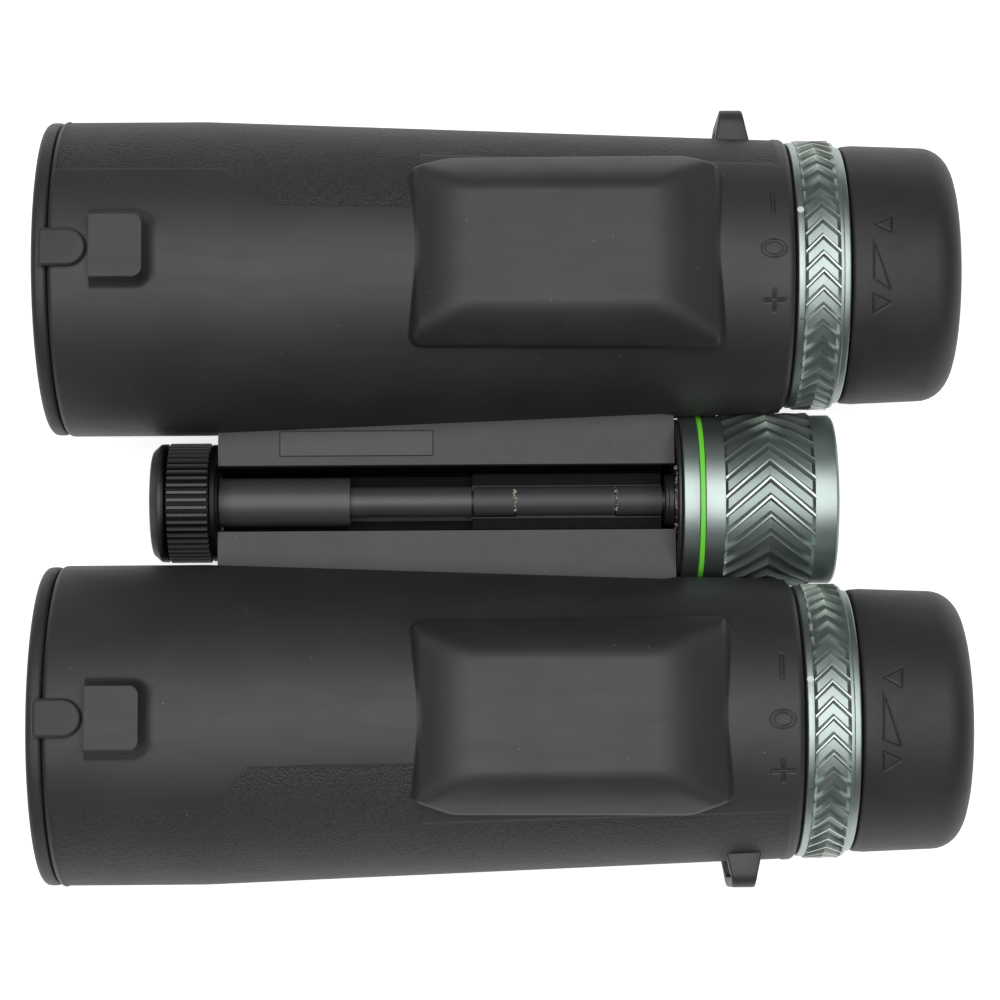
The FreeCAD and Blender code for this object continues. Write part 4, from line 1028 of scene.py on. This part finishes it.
grease_smear("grease_front_knuckle", 2.3, 2.44, -55, 45, 26, 0.26)
grease_smear("grease_rear_knuckle", 19.1, 2.44, -50, 60, 18, 0.20)
grease_smear("grease_hub", 29.0, 6.95, -70, 75, 26, 0.34)


# ---- tripod socket cap ----
# A hard black plastic dust cap over the tripod socket, with a domed front and straight moulded
# ribs to hold it by, their crests rubbed a little lighter.

cap_plastic = Finish("cap_plastic", {"Specular IOR Level": 0.5})
cap_plastic.set("Base Color", (cap_plastic.painted("worn") * 0.8).blend(
    cap_plastic.noise(2.0).blend(tone(12, 12, 13), tone(18, 18, 19)), tone(66, 65, 67)))
cap_plastic.set("Metallic", cap_plastic.painted("worn").ramp(0.40, 0.05) * 0.85)
cap_plastic.sheen(0.36, 0.14, 0.5, 3.0)
cap_plastic.grain(0.15, 0.016, 3.0)


def ribbed_cap():
    """A domed front, ribs and a plain collar, closed by the bore and its floor."""
    ribs, crest, groove = 50, 9.98, 9.2
    pitch = 360 / ribs
    pattern = np.array([0.0, 0.27, 0.33, 0.67, 0.73]) * pitch
    ridge_pattern = np.array([0.0, 0.0, 1.0, 1.0, 0.0])
    angles = np.concatenate([index * pitch + pattern for index in range(ribs)])
    ridge = np.tile(ridge_pattern, ribs)[None, :]
    profile = rounded([(-58.0, 0.0), (-58.0, 8.6, 0.9), (-56.6, 9.85, 0.35), (-55.5, 9.9, 0.1),
                       (-55.35, 9.45)])
    ribbed = np.array([-55.25, -55.15, -55.0, -48.45, -48.3, -48.2])
    rise = np.array([0.0, 0.6, 1.0, 1.0, 0.6, 0.0])
    collar = rounded([(-48.1, 9.45), (-48.0, 9.75, 0.12), (-47.1, 9.75, 0.2), (-47.1, 8.37, 0.1),
                      (-56.7, 8.37), (-56.7, 0.0)])
    flat = np.ones((1, len(angles)))
    radius = np.concatenate([profile[:, 1:] * flat,
                             groove + (crest - groove) * ridge * rise[:, None],
                             collar[:, 1:] * flat])
    dome = np.where(profile[:, :1] < -55.6, 0.5, 0.0)
    worn = np.concatenate([dome * flat, ridge * rise[:, None],
                           np.full((len(collar), 1), 0.12) * flat])
    rows = np.concatenate([profile[:, 0], ribbed, collar[:, 0]])
    piece("tripod_cap_ribbed", around("hinge", rows[:, None], radius, angles[None, :]),
          grid_faces(len(rows), len(angles)), "tripod_cap", cap_plastic,
          ("tripod_cap",), sharp=30.0, values={"worn": worn})


ribbed_cap()


# ---- focusing knob ----
# A bead-blasted aluminium wheel, anodised grey with a green cast, with chevrons milled round it
# and a lime green enamel ring let into its front rim. A disc closes its rear recess.

# The knob's chevron pockets carry painted shade (shade 0.42); the dioptre rings' grips carry none.
chevron_grip("focus_wheel", "hinge", [
    (29.6, 12.05, 0.2), (29.6, 14.05, 0.25), (32.24, 14.05, 0.08), (32.3, 13.6), (33.2, 13.6),
    (33.26, 14.05, 0.08), (36.38, 14.05)], {
    "front": 36.4, "rear": 51.1, "count": 29, "phase": 7.9, "crest": 14.5, "floor": 13.6,
    "rim": 14.05, "crest_width": 0.40, "foot_width": 1.45, "wall": 0.5, "slope": 0.875,
    "shade": 0.42}, [
    (51.12, 14.05), (54.55, 14.05, 0.15), (55.0, 13.6, 0.15), (55.0, 10.0, 0.2), (49.0, 10.0),
    (49.0, 2.58), (42.2, 2.58), (42.2, 12.05)],
    "focus_knob", anodised, ("focus_knob",))
green_accent = Finish("green_accent", {"Specular IOR Level": 0.5, "Coat Roughness": 0.15})
green_accent.mottle(3.0, (108, 214, 58), (118, 222, 66))
green_accent.sheen(0.38, 0.08, 0.3)
green_accent.grain(0.3, 0.008)
turned("accent_band", "hinge", [
    (32.33, 13.62), (32.33, 14.2, 0.16), (33.17, 14.2, 0.16), (33.17, 13.62)],
    "focus_knob", green_accent, ("knob_accent_ring",), columns=200)
dress(black_aluminium, "knob_end_cap")
dress(brass, "knob_retainer")
dress(steel, "focus_carriage")
